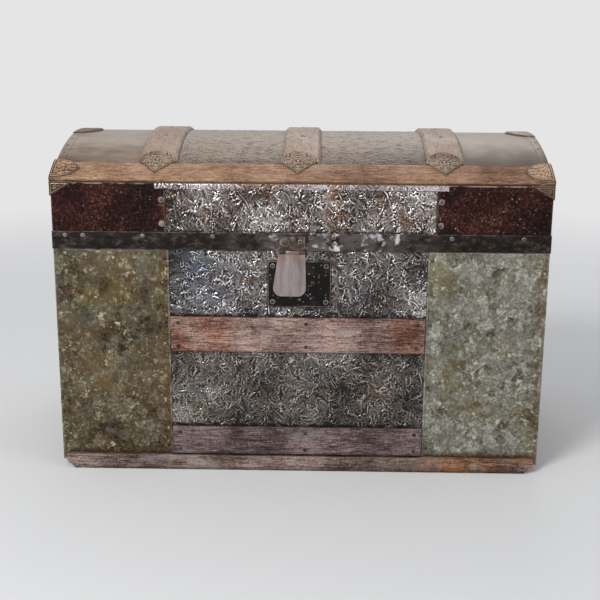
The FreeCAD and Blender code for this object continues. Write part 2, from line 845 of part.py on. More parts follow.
# The case stands in a window of the front board, and the bolt slides in a pocket behind the plate.
case = block(
    lock_middle - lock_case_width / 2,
    lock_middle + lock_case_width / 2,
    -half_depth,
    -inner_half_depth,
    lock_middle_height - lock_case_height / 2,
    lock_middle_height + lock_case_height / 2,
)
bolt_height_middle = lock_middle_height + bolt_offset
bolt_start = lock_middle - (bolt_length + bolt_travel) / 2
pocket = block(
    bolt_start - bolt_clearance,
    bolt_start + bolt_length + bolt_travel + bolt_clearance,
    -depth,
    -half_depth + bolt_depth + bolt_clearance,
    bolt_height_middle - bolt_height / 2 - bolt_clearance,
    bolt_height_middle + bolt_height / 2 + bolt_clearance,
)
key_reach = keyhole + keyhole_slot_length
key_well = rod_y(key_reach, -half_depth, -half_depth + bolt_depth, lock_middle, keyhole_height)
key_well = key_well.common(block(-width, width, -depth, depth, 0, keyhole_height + keyhole))
save("lock_case", case.cut(pocket).cut(key_well.common(case)))
bolt = block(
    bolt_start,
    bolt_start + bolt_length,
    -half_depth + bolt_clearance,
    -half_depth + bolt_depth,
    bolt_height_middle - bolt_height / 2,
    bolt_height_middle + bolt_height / 2,
)
save("lock_bolt", bolt)

# ---------------------------------------------------------------- end handles

handle_axis_x = half_width + handle_axis_out
bail_leg = handle_span / 2 - bail_bend - 2 * bail


def bail_rod():
    """Iron bail hanging from its lugs: two bent-out ends, two legs and the bar in the grip."""
    leg = bail_leg
    end = handle_span / 2 + bail_tail
    low = handle_height - handle_drop
    front_half = [(-end, handle_height), (-leg, handle_height), (-leg, low)]
    back_half = [(-y, z) for y, z in reversed(front_half)]
    points = [Vector(handle_axis_x, y, z) for y, z in front_half + back_half]
    edges, start = [], points[0]
    for before, corner, after in zip(points, points[1:], points[2:]):
        u, v = (before - corner).normalize(), (after - corner).normalize()
        p, q = corner + u * bail_bend, corner + v * bail_bend
        centre = corner + (u + v) * bail_bend
        middle = centre + (corner - centre).normalize() * bail_bend
        edges += [line(start, p), arc(p, middle, q)]
        start = q
    edges.append(line(start, points[-1]))
    path = Part.Wire(edges)
    ring = Part.Wire(Part.makeCircle(bail, points[0], Vector(0, 1, 0)))
    return path.makePipeShell([ring], True, False)


def grip():
    """Leather sleeve sewn round the bar, fuller in the middle."""
    half = bail_leg - bail_bend - grip_gap
    low = handle_height - handle_drop
    x = handle_axis_x
    profile = [
        line(Vector(x + bail, -half, low), Vector(x + grip_waist, -half, low)),
        arc(
            Vector(x + grip_waist, -half, low),
            Vector(x + grip_belly, 0, low),
            Vector(x + grip_waist, half, low),
        ),
        line(Vector(x + grip_waist, half, low), Vector(x + bail, half, low)),
        line(Vector(x + bail, half, low), Vector(x + bail, -half, low)),
    ]
    return Part.Face(Part.Wire(profile)).revolve(Vector(x, 0, low), Vector(0, 1, 0), 360)


def bracket_at(side):
    """Plate and bored lug for one end of the bail. side is -1 towards the front, 1 towards the back."""
    inner = handle_span / 2
    middle = side * (inner + lug_length / 2)
    plate = block(
        half_width,
        half_width + bracket,
        middle - bracket_width / 2,
        middle + bracket_width / 2,
        handle_height - bracket_height / 2,
        handle_height + bracket_height / 2,
    )
    post = block(
        half_width,
        handle_axis_x,
        middle - lug_length / 2,
        middle + lug_length / 2,
        handle_height - lug,
        handle_height + lug,
    )
    boss = rod_y(lug, middle - lug_length / 2, middle + lug_length / 2, handle_axis_x, handle_height)
    bore = rod_y(
        bail + running_clearance,
        middle - lug_length / 2 - over,
        middle + lug_length / 2 + over,
        handle_axis_x,
        handle_height,
    )
    return plate.fuse([post, boss]).cut(bore).removeSplitter()


right_brackets = [bracket_at(-1), bracket_at(1)]
save("handle_brackets", *right_brackets, *[mirrored_x(b) for b in right_brackets])
right_bail, right_grip = bail_rod(), grip()
save("handle_bail_right", right_bail)
save("handle_grip_right", right_grip)
save("handle_bail_left", mirrored_x(right_bail))
save("handle_grip_left", mirrored_x(right_grip))

# ---------------------------------------------------------------- lift-out tray

tray_half_width = lip_inner_half_width - tray_clearance
tray_half_depth = lip_inner_half_depth - tray_clearance
tray_top = tray_seat + tray_height
tray_floor = tray_seat + tray_bottom
tray_side = block(
    -tray_half_width, tray_half_width, -tray_half_depth, -tray_half_depth + tray_wall, tray_floor, tray_top
)
tray_end = block(
    tray_half_width - tray_wall,
    tray_half_width,
    -tray_half_depth + tray_wall,
    tray_half_depth - tray_wall,
    tray_floor,
    tray_top,
)
partition = block(
    -tray_partition - tray_wall / 2,
    -tray_partition + tray_wall / 2,
    -tray_half_depth + tray_wall,
    tray_half_depth - tray_wall,
    tray_floor,
    tray_top,
)
save("tray_sides", tray_side, mirrored_y(tray_side))
save("tray_ends", tray_end, mirrored_x(tray_end))
save("tray_partition", partition)
save(
    "tray_bottom",
    block(-tray_half_width, tray_half_width, -tray_half_depth, tray_half_depth, tray_seat, tray_floor),
)
cleat = block(
    inner_half_width - cleat_width,
    inner_half_width,
    -inner_half_depth + cleat_end_gap,
    inner_half_depth - cleat_end_gap,
    tray_seat - cleat_height,
    tray_seat,
)
save("tray_cleats", cleat, mirrored_x(cleat))

# ---------------------------------------------------------------- nails


def nail(length):
    """Domed nail that points down from the origin, its head above."""
    cap_radius = (nail_head**2 + nail_head_height**2) / (2 * nail_head_height)
    rim = Vector(nail_head, 0, 0)
    top = Vector(0, 0, nail_head_height)
    half = math.asin(nail_head / cap_radius) / 2
    middle = Vector(
        cap_radius * math.sin(half), 0, nail_head_height - cap_radius * (1 - math.cos(half))
    )
    profile = [
        arc(rim, middle, top),
        line(top, Vector(0, 0, -length)),
        line(Vector(0, 0, -length), Vector(nail_shank, 0, -length)),
        line(Vector(nail_shank, 0, -length), Vector(nail_shank, 0, 0)),
        line(Vector(nail_shank, 0, 0), rim),
    ]
    return Part.Face(Part.Wire(profile)).revolve(Vector(0, 0, 0), Vector(0, 0, 1), 360)


short_nail, long_nail = nail(nail_length), nail(slat_nail_length)


def driven(kind, point, outward):
    """Copy of a nail with the underside of its head at a point, its head looking outward."""
    copy = kind.copy()
    turn = FreeCAD.Rotation(Vector(0, 0, 1), outward)
    copy.Placement = FreeCAD.Placement(point, turn)
    return copy


def spread(low, high, pitch):
    """Evenly spaced places from low to high, no further apart than the pitch."""
    gaps = max(1, math.ceil((high - low) / pitch))
    return [low + (high - low) * i / gaps for i in range(gaps + 1)]


toward_front, toward_right = Vector(0, -1, 0), Vector(1, 0, 0)
hinge_middles = (-hinge_spacing, 0.0, hinge_spacing)
hinge_face = half_depth + hinge_leaf
hinge_leaf_reach = hinge_barrel + knuckle_gap + hinge_leaf_length
lid_nails = []

# Band: along the front as they happen to be, evenly along the back between the hinges, and along the ends.
band_nail_height = band_top - band_nail_drop
front_row = [hasp_middle + x for x in band_nails_from_hasp]
front_row += [x - half_width for x in band_nails_from_left]
front_row += [half_width - x for x in band_nails_from_right]
for x in front_row:
    lid_nails.append(driven(short_nail, Vector(x, -half_depth - band, band_nail_height), toward_front))
back_row = spread(-half_width + slat_nail_inset, half_width - slat_nail_inset, nail_pitch)
for x in back_row:
    if min(abs(x - m) for m in hinge_middles) > hinge_width / 2 + nail_head:
        lid_nails.append(driven(short_nail, Vector(x, half_depth + band, band_nail_height), -toward_front))
for y in spread(-half_depth + slat_nail_inset, half_depth - slat_nail_inset, nail_pitch):
    right_nail = driven(short_nail, Vector(half_width + band, y, band_nail_height), toward_right)
    lid_nails += [right_nail, mirrored_x(right_nail)]

# Seams between the embossed and the painted sheets of the lid.
for z in (arris_height - lid_seam_nail_high, band_top + lid_seam_nail_low):
    seam_nail = driven(short_nail, Vector(lid_seam + seam_nail_inset, -half_depth, z), toward_front)
    lid_nails += [seam_nail, mirrored_x(seam_nail), mirrored_y(seam_nail), mirrored_x(mirrored_y(seam_nail))]

# Hasp plate and the hinges' upper leaves.
for x, z in hasp_nails:
    point = Vector(hasp_middle + x, hasp_seat - hasp_plate, hasp_plate_low + z)
    lid_nails.append(driven(short_nail, point, toward_front))
for x in hinge_middles:
    low_point = Vector(x, hinge_face + band, band_top - hinge_nail_inset)
    high_point = Vector(x, hinge_face, hinge_axis_height + hinge_leaf_reach - hinge_nail_inset)
    lid_nails += [driven(short_nail, point, -toward_front) for point in (low_point, high_point)]
save("lid_nails", *lid_nails)

# Dome: along each strap, and a row along each edge binding.
dome_nails = []
binding_start = math.asin((crest_clamp_spread / 2 + 2 * nail_head) / dome_outer)
binding_end = strap_angle - 2 * nail_head / dome_outer
strap_nail_angle = lean(-half_depth + strap_clamp_top) - crest_nail_gap / dome_outer
for angle in (strap_nail_angle, 0.0, -strap_nail_angle):
    outward = Vector(0, -math.sin(angle), math.cos(angle))
    for x in strap_middles:
        dome_nails.append(driven(long_nail, polar(dome_slat_top, angle, x), outward))
for angle in spread(binding_start, binding_end, binding_nail_pitch / dome_outer):
    for turned in (angle, -angle):
        outward = Vector(0, -math.sin(turned), math.cos(turned))
        place = polar(dome_outer + binding, turned, half_width - binding_width / 2)
        binding_nail = driven(short_nail, place, outward)
        dome_nails += [binding_nail, mirrored_x(binding_nail)]
save("dome_nails", *dome_nails)

# Box: the lock plate, the slats, the seams of the galvanised sheets, the hinges and the handle brackets.
box_nails = []
lock_nail_x = lock_plate_width / 2 - lock_nail_inset
lock_nail_z = lock_plate_height / 2 - lock_nail_inset
lock_nails = [(x, z) for x in (-lock_nail_x, lock_nail_x) for z in (-lock_nail_z, lock_nail_z)]
for x, z in lock_nails + [lock_spare_nail]:
    place = Vector(lock_middle + x, -half_depth - lock_plate, lock_middle_height + z)
    box_nails.append(driven(short_nail, place, toward_front))
for low, height in ((lower_slat_bottom, lower_slat_height), (upper_slat_bottom, upper_slat_height)):
    for z in (low + slat_nail_margin, low + height - slat_nail_margin):
        left_nail_x, right_nail_x = slat_nail_inset - casing_seam_left, casing_seam_right - slat_nail_inset
        for x in (left_nail_x, slat_nail_middle, right_nail_x):
            slat_nail = driven(long_nail, Vector(x, -half_depth - slat, z), toward_front)
            box_nails += [slat_nail, mirrored_y(slat_nail)]
    for y in (-end_slat_length / 2 + slat_nail_inset, 0.0, end_slat_length / 2 - slat_nail_inset):
        end_nail = driven(long_nail, Vector(half_width + slat, y, low + height / 2), toward_right)
        box_nails += [end_nail, mirrored_x(end_nail)]
for z in spread(lower_slat_bottom + slat_nail_inset, rim_height - slat_nail_inset, casing_nail_pitch):
    for x in (-casing_seam_left - seam_nail_inset, casing_seam_right + seam_nail_inset):
        side_nail = driven(short_nail, Vector(x, -half_depth, z), toward_front)
        box_nails += [side_nail, mirrored_y(side_nail)]
for x in hinge_middles:
    leaf_high = hinge_axis_height - hinge_barrel - knuckle_gap
    for z in (leaf_high - hinge_leaf_length + hinge_nail_inset, leaf_high - 2 * hinge_nail_inset):
        box_nails.append(driven(short_nail, Vector(x, hinge_face, z), -toward_front))
bracket_middle = (handle_span + lug_length) / 2
bracket_nail_y = bracket_width / 2 - bracket_nail_inset
bracket_nail_z = bracket_height / 2 - bracket_nail_inset
for y in (-bracket_nail_y, bracket_nail_y):
    for z in (handle_height - bracket_nail_z, handle_height + bracket_nail_z):
        corner_nail = driven(short_nail, Vector(half_width + bracket, bracket_middle + y, z), toward_right)
        box_nails += [corner_nail, mirrored_x(corner_nail)]
        box_nails += [mirrored_y(corner_nail), mirrored_x(mirrored_y(corner_nail))]
save("box_nails", *box_nails)
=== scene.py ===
import math

import bpy
import numpy as np
from mathutils import Matrix, Vector


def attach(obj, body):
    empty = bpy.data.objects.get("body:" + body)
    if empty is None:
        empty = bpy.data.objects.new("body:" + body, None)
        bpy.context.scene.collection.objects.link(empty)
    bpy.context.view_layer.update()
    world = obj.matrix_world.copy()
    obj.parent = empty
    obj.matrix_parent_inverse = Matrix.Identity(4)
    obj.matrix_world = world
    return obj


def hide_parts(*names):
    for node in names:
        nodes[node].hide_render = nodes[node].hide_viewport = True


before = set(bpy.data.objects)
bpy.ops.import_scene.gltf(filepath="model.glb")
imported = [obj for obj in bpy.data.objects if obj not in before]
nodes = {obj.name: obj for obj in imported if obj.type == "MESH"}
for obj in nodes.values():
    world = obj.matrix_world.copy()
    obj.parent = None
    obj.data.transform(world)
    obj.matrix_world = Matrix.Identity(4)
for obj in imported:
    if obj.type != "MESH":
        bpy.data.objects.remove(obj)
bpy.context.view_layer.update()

# ------------------------------------------------------------------ camera, floor and light
# A portrait lens stands in front of the trunk and a little above it. The trunk is on a pale
# studio floor without an edge, under one large soft lamp to the left, a smaller one to the
# right and a third above and behind it.
bpy.ops.object.camera_add(location=(0.0285, -1.8914, 0.7136))
camera = bpy.context.object
camera.name = "camera"
camera.matrix_world = (
    Matrix.Translation(camera.location)
    @ Matrix.Rotation(math.radians(1.0), 4, "Z")
    @ Matrix.Rotation(math.radians(90 - 14), 4, "X")
    @ Matrix.Rotation(math.radians(0.4), 4, "Z")
)
camera.data.lens = 62.12
camera.data.sensor_width = 36.0
bpy.context.scene.camera = camera
bpy.context.scene.view_settings.view_transform = "Standard"


def put(tree, kind, inputs=None, **settings):
    """Adds one shader node, sets its settings, and fills or links its inputs."""
    node = tree.nodes.new("ShaderNode" + kind)
    for key, value in settings.items():
        setattr(node, key, value)
    for key, value in (inputs or {}).items():
        if isinstance(value, bpy.types.NodeSocket):
            tree.links.new(value, node.inputs[key])
        else:
            node.inputs[key].default_value = value
    return node


def srgb(red, green, blue):
    """A colour as a painter reads it off, 0 to 255, as the linear colour that a shader takes."""
    return tuple(
        c / 12.92 if c <= 0.04045 else ((c + 0.055) / 1.055) ** 2.4
        for c in (red / 255, green / 255, blue / 255)
    ) + (1.0,)


def bare_material(name):
    """A material with nothing in its tree but the output, and its Object coordinates."""
    material = bpy.data.materials.new(name)
    material.use_nodes = True
    tree = material.node_tree
    tree.nodes.clear()
    return material, tree, put(tree, "TexCoord").outputs["Object"]


def principled(tree, colour, roughness, normal, metallic=0.0, specular=0.5):
    """The one shader of a material, wired to its output."""
    shader = put(tree, "BsdfPrincipled", {
        "Base Color": colour, "Roughness": roughness, "Normal": normal, "Metallic": metallic,
        "Specular IOR Level": specular,
    })
    put(tree, "OutputMaterial", {"Surface": shader.outputs[0]})


def spanned(tree, value, low, high, start=0.0, end=1.0, smooth=False):
    """A value from low to high, spread over start to end and held beyond them."""
    return put(tree, "MapRange", {
        "Value": value, "From Min": low, "From Max": high, "To Min": start, "To Max": end,
    }, interpolation_type="SMOOTHSTEP" if smooth else "LINEAR").outputs["Result"]


def noisy(tree, vector, scale, detail, roughness=0.5, distortion=0.0):
    """Noise as one value."""
    return put(tree, "TexNoise", {
        "Vector": vector, "Scale": scale, "Detail": detail, "Roughness": roughness,
        "Distortion": distortion,
    }).outputs["Fac"]


def axes(tree, vector):
    """A vector's X, Y and Z."""
    return put(tree, "SeparateXYZ", {0: vector}).outputs


bpy.ops.object.select_all(action="DESELECT")
bpy.ops.mesh.primitive_plane_add(size=80)
floor = bpy.context.object
floor.name = "studio_floor"
backdrop = srgb(229, 229, 230)
floor_paint, tree, place = bare_material("floor_paint")
cloud = noisy(tree, place, 1.2, 3.0)
floor_tone = spanned(tree, cloud, 0.0, 1.0, 0.7, 0.73)
paint = put(tree, "BsdfPrincipled", {"Base Color": floor_tone, "Roughness": 0.9})
sweep = put(tree, "Emission", {"Color": backdrop, "Strength": 1.0})
far = put(tree, "VectorMath", {0: place}, operation="LENGTH").outputs["Value"]
far = spanned(tree, far, 0.9, 3.0, smooth=True)
sweep = put(tree, "MixShader", {0: far, 1: paint.outputs[0], 2: sweep.outputs[0]})
put(tree, "OutputMaterial", {"Surface": sweep.outputs[0]})
floor.data.materials.append(floor_paint)

world = bpy.data.worlds.new("studio")
bpy.context.scene.world = world
world.use_nodes = True
tree = world.node_tree
tree.nodes.clear()
height = axes(tree, put(tree, "TexCoord").outputs["Generated"])["Z"]
height = spanned(tree, height, 0.02, 0.55, smooth=True)
air = put(
    tree, "Mix", {"Factor": height, 6: backdrop, 7: (0.42, 0.43, 0.45, 1.0)}, data_type="RGBA"
)
sky = put(tree, "Background", {"Color": air.outputs[2], "Strength": 1.0})
put(tree, "OutputWorld", {"Surface": sky.outputs[0]})

for name, spot, size, power in (
    ("lamp_key", (-1.3, -2.1, 2.3), 1.1, 62.0),
    ("lamp_fill", (2.3, -1.5, 1.7), 1.4, 9.5),
    ("lamp_crown", (0.2, 1.9, 2.2), 1.8, 16.0),
):
    bpy.ops.object.light_add(type="AREA", location=spot)
    lamp = bpy.context.object
    lamp.name = name
    lamp.data.shape = "DISK"
    lamp.data.size = size
    lamp.data.energy = power
    aim = Vector((0, 0, 0.28)) - Vector(spot)
    lamp.rotation_euler = aim.to_track_quat("-Z", "Y").to_euler()

# ------------------------------------------------------------------ pine carcass
# The box and the lid are nailed up from pine boards, and nine staves close the dome. Their
# insides are papered with a faded striped lining, and the bare wood shows at the rims.


def reckon(tree, operation, *values):
    """One arithmetic step, with no limits set to it."""
    return put(tree, "Math", dict(enumerate(values)), operation=operation).outputs[0]


def stretched(tree, vector, by):
    """Coordinates multiplied, so that what is drawn on them is drawn out."""
    return put(tree, "VectorMath", {0: vector, 1: by}, operation="MULTIPLY").outputs[0]


def new_group(name, takes, gives, given="Float"):
    """An empty shader node group that takes a Vector and the named values, and its two ends."""
    group = bpy.data.node_groups.new(name, "ShaderNodeTree")
    group.interface.new_socket("Vector", in_out="INPUT", socket_type="NodeSocketVector")
    for label, value in takes.items():
        kind = "Vector" if isinstance(value, tuple) else "Float"
        socket = group.interface.new_socket(label, in_out="INPUT", socket_type="NodeSocket" + kind)
        socket.default_value = value
    for label in gives:
        group.interface.new_socket(label, in_out="OUTPUT", socket_type="NodeSocket" + given)
    start = group.nodes.new("NodeGroupInput")
    end = group.nodes.new("NodeGroupOutput")
    return group, start.outputs, end.inputs


def placed(tree, group, vector, **values):
    """A shared group placed in a material."""
    return put(tree, "Group", {"Vector": vector, **values}, node_tree=group).outputs


# Patches: soft-edged areas of stain, dust or wear.
patches, takes, gives = new_group(
    "patches", {"Scale": 10.0, "Detail": 4.0, "From": 0.45, "To": 0.6}, ["Mask"])
cloud = noisy(patches, takes["Vector"], takes["Scale"], takes["Detail"], 0.6)
mask = spanned(patches, cloud, takes["From"], takes["To"], smooth=True)
patches.links.new(mask, gives["Mask"])

# Grain: fibres, broad streaks and pores, drawn out along the wood by Stretch.
grain, takes, gives = new_group(
    "grain", {"Stretch": (6.0, 130.0, 130.0)}, ["Fibre", "Streak", "Pores", "Height"])
drawn = stretched(grain, takes["Vector"], takes["Stretch"])
fibre = noisy(grain, drawn, 1.5, 6.0, 0.7)
streak = noisy(grain, drawn, 0.4, 4.0, 0.6, 0.5)
pores = spanned(grain, noisy(grain, drawn, 3.2, 2.0, 0.5), 0.6, 0.7)
rough = reckon(grain, "SUBTRACT", fibre, pores)
tall = reckon(grain, "MULTIPLY_ADD", streak, 0.8, rough)
for label, output in (("Fibre", fibre), ("Streak", streak), ("Pores", pores), ("Height", tall)):
    grain.links.new(output, gives[label])


def between(tree, mask, low, high):
    """The low colour where the mask is 0, the high one where it is 1."""
    mix = put(tree, "Mix", {"Factor": mask, 6: low, 7: high}, data_type="RGBA")
    return mix.outputs[2]


def ramp(tree, value, stops):
    """Runs a value through a ramp of (place, painter's colour) stops."""
    stops = list(stops)
    node = put(tree, "ValToRGB", {"Fac": value})
    band = node.color_ramp
    while len(band.elements) < len(stops):
        band.elements.new(0.5)
    for element, (spot, colour) in zip(band.elements, stops):
        element.position = spot
        element.color = srgb(*colour)
    return node.outputs["Color"]


def spread_mask(tree, vector, scale, low, high, detail=4.0):
    """The patches group placed in a material."""
    return placed(tree, patches, vector, Scale=scale, Detail=detail, From=low, To=high)["Mask"]


def weigh(tree, first, second, operation="MULTIPLY"):
    """One arithmetic step, held from 0 to 1."""
    return put(tree, "Math", {0: first, 1: second}, operation=operation, use_clamp=True).outputs[0]


def coated(tree, colour, mask, share, tone):
    """The colour with a painter's tone over it where the mask is, as thick as share."""
    return between(tree, weigh(tree, mask, share), colour, srgb(*tone))


def bump(tree, height, strength, distance, normal=None):
    """Bump from a height, in metres of relief."""
    inputs = {"Height": height, "Strength": strength, "Distance": distance}
    if normal is not None:
        inputs["Normal"] = normal
    return put(tree, "Bump", inputs).outputs["Normal"]


def wood(tree, vector, stretch):
    """The grain group placed in a material."""
    return placed(tree, grain, vector, Stretch=stretch)


def dressed(material, *names):
    """Gives CAD nodes a material."""
    for name in names:
        mesh = nodes[name].data
        mesh.materials.clear()
        mesh.materials.append(material)


inner_end, inner_front, stave_reach, inner_floor = 0.3949, 0.2169, 0.4276, 0.0125
dome_axis, dome_radius = 0.11847, 0.43703


def pine_material(name, stretch, lined):
    """Aged pine, papered where it faces the inside."""
    material, tree, place = bare_material(name)
    figure = wood(tree, place, stretch)
    colour = ramp(tree, figure["Streak"], [
        (0.3, (112, 80, 50)), (0.5, (150, 112, 72)), (0.72, (176, 140, 98))
    ])
    colour = coated(tree, colour, figure["Pores"], 0.6, (84, 58, 36))
    dirt = spread_mask(tree, place, 9.0, 0.46, 0.68)
    colour = coated(tree, colour, dirt, 0.55, (86, 66, 48))
    height = weigh(tree, figure["Height"], 0.6)
    if lined:
        apart = axes(tree, place)
        across = weigh(tree, reckon(tree, "ABSOLUTE", apart["X"]), inner_end, "LESS_THAN")
        deep = weigh(tree, reckon(tree, "ABSOLUTE", apart["Y"]), inner_front, "LESS_THAN")
        low = reckon(tree, "ADD", apart["Z"], -dome_axis)
        reach = put(tree, "CombineXYZ", {"Y": apart["Y"], "Z": low}).outputs[0]
        reach = put(tree, "VectorMath", {0: reach}, operation="LENGTH").outputs["Value"]
        under = weigh(tree, reach, stave_reach, "LESS_THAN")
        inside = weigh(tree, weigh(tree, across, deep), under)
        above = weigh(tree, apart["Z"], inner_floor, "GREATER_THAN")
        inside = weigh(tree, inside, above)
        run = reckon(tree, "ADD", apart["X"], apart["Y"])
        stripe = reckon(tree, "SINE", reckon(tree, "MULTIPLY", run, 210.0))
        stripe = spanned(tree, stripe, 0.55, 0.75)
        paper = coated(tree, srgb(186, 168, 132), stripe, 0.55, (150, 128, 100))
        fox = spread_mask(tree, place, 55.0, 0.6, 0.72)
        paper = coated(tree, paper, fox, 0.6, (128, 92, 58))
        tide = spread_mask(tree, place, 5.0, 0.45, 0.7, 6.0)
        paper = coated(tree, paper, tide, 0.6, (136, 108, 74))
        torn = spread_mask(tree, place, 7.0, 0.66, 0.67, 8.0)
        inside = weigh(tree, inside, weigh(tree, 1.0, torn, "SUBTRACT"))
        colour = between(tree, inside, colour, paper)
        ripple = noisy(tree, place, 30.0, 2.0)
        height = put(
            tree, "Mix", {"Factor": inside, 2: height, 3: ripple}, data_type="FLOAT"
        ).outputs[0]
    principled(tree, colour, 0.7, bump(tree, height, 0.5, 0.0008))
    return material


long_grain, deep_grain = (34.0, 250.0, 250.0), (250.0, 34.0, 250.0)
lined_pine = pine_material("lined_pine", long_grain, True)
lined_pine_ends = pine_material("lined_pine_ends", deep_grain, True)
bare_pine = pine_material("bare_pine", long_grain, False)
bare_pine_ends = pine_material("bare_pine_ends", deep_grain, False)
dressed(lined_pine, "box_front_board", "box_back_board", "box_bottom_board", "lid_front_board",
        "lid_back_board", "dome_staves")
dressed(lined_pine_ends, "box_left_board", "box_right_board", "lid_left_board", "lid_right_board")
dressed(bare_pine, "rim_lips")
dressed(bare_pine_ends, "tray_cleats", "sole_slats")

# ------------------------------------------------------------------ galvanised casings
# A galvanised sheet is wrapped round each end of the box. The zinc has frosty spangles, and age
# has stained it olive and brown, the left sheet more than the right. Each free edge is folded.

# Flecks: small separate spots, on the share of the cells that Share gives.
flecks, takes, gives = new_group(
    "flecks", {"Scale": 120.0, "Share": 0.3, "Size": 0.4}, ["Mask", "Shade"])
cells = put(flecks, "TexVoronoi", {"Vector": takes["Vector"], "Scale": takes["Scale"]}).outputs
tint = put(flecks, "SeparateColor", {"Color": cells["Color"]}).outputs
chosen = reckon(flecks, "LESS_THAN", tint["Red"], takes["Share"])
spot = spanned(flecks, cells["Distance"], takes["Size"], 0.08, smooth=True)
flecks.links.new(weigh(flecks, chosen, spot), gives["Mask"])
flecks.links.new(tint["Green"], gives["Shade"])

# Worn edge: where a convex edge has been rubbed, broken up by a little noise.
worn_edge, takes, gives = new_group("worn_edge", {"Radius": 0.002, "Scale": 60.0}, ["Mask"])
rounded = put(worn_edge, "Bevel", {"Radius": takes["Radius"]}, samples=6).outputs[0]
flat = put(worn_edge, "NewGeometry").outputs["Normal"]
turn = put(worn_edge, "VectorMath", {0: rounded, 1: flat}, operation="DOT_PRODUCT").outputs["Value"]
broken = spanned(worn_edge, noisy(worn_edge, takes["Vector"], takes["Scale"], 5.0), 0.35, 0.6)
worn_edge.links.new(weigh(worn_edge, spanned(worn_edge, turn, 0.995, 0.86), broken), gives["Mask"])

# Dirt and painted shade: darker where ambient occlusion finds hollows, and beside whatever stands
# on the surface.
crevice_dirt_and_shade, takes, gives = new_group("crevice_dirt_and_shade", {"Distance": 0.01, "Scale": 50.0}, ["Mask"])
open_air = put(
    crevice_dirt_and_shade, "AmbientOcclusion", {"Distance": takes["Distance"]}, samples=8
).outputs["AO"]
uneven = noisy(crevice_dirt_and_shade, takes["Vector"], takes["Scale"], 5.0)
uneven = spanned(crevice_dirt_and_shade, uneven, 0.3, 0.55, 0.45)
crevice_dirt_and_shade.links.new(weigh(crevice_dirt_and_shade, spanned(crevice_dirt_and_shade, open_air, 0.97, 0.5), uneven), gives["Mask"])

# Pushed: coordinates moved about by noise, so that what is drawn on them gets ragged edges.
pushed, takes, gives = new_group("pushed", {"Scale": 50.0, "Reach": 0.01}, ["Vector"], "Vector")
noise = put(pushed, "TexNoise", {"Vector": takes["Vector"], "Scale": takes["Scale"], "Detail": 4.0})
push = put(
    pushed, "VectorMath", {0: noise.outputs["Color"], 1: (0.5, 0.5, 0.5)}, operation="SUBTRACT"
)
push = put(pushed, "VectorMath", {0: push.outputs[0], "Scale": takes["Reach"]}, operation="SCALE")
push = put(pushed, "VectorMath", {0: push.outputs[0], 1: takes["Vector"]}, operation="ADD")
pushed.links.new(push.outputs[0], gives["Vector"])

# Near: full round one place along the trunk, and gone at Reach from it.
near, takes, gives = new_group("near", {"X": 0.0, "Reach": 0.05}, ["Mask"])
off = reckon(
    near, "ABSOLUTE", reckon(near, "SUBTRACT", axes(near, takes["Vector"])["X"], takes["X"])
)
fall = spanned(near, reckon(near, "DIVIDE", off, takes["Reach"]), 1.0, 0.3, smooth=True)
near.links.new(fall, gives["Mask"])


def fleck_mask(tree, vector, scale, share, size):
    """The flecks group placed in a material."""
    return placed(tree, flecks, vector, Scale=scale, Share=share, Size=size)


def edge_mask(tree, vector, radius, scale=60.0):
    """The worn_edge group placed in a material."""
    return placed(tree, worn_edge, vector, Radius=radius, Scale=scale)["Mask"]


def dirt_and_shade_mask(tree, vector, distance, scale=50.0):
    """The group of dirt and painted shade in hollows, placed in a material."""
    return placed(tree, crevice_dirt_and_shade, vector, Distance=distance, Scale=scale)["Mask"]


def shaken(tree, vector, scale, reach):
    """The pushed group placed in a material."""
    return placed(tree, pushed, vector, Scale=scale, Reach=reach)["Vector"]


def near_x(tree, vector, x, reach):
    """The near group placed in a material."""
    return placed(tree, near, vector, X=x, Reach=reach)["Mask"]


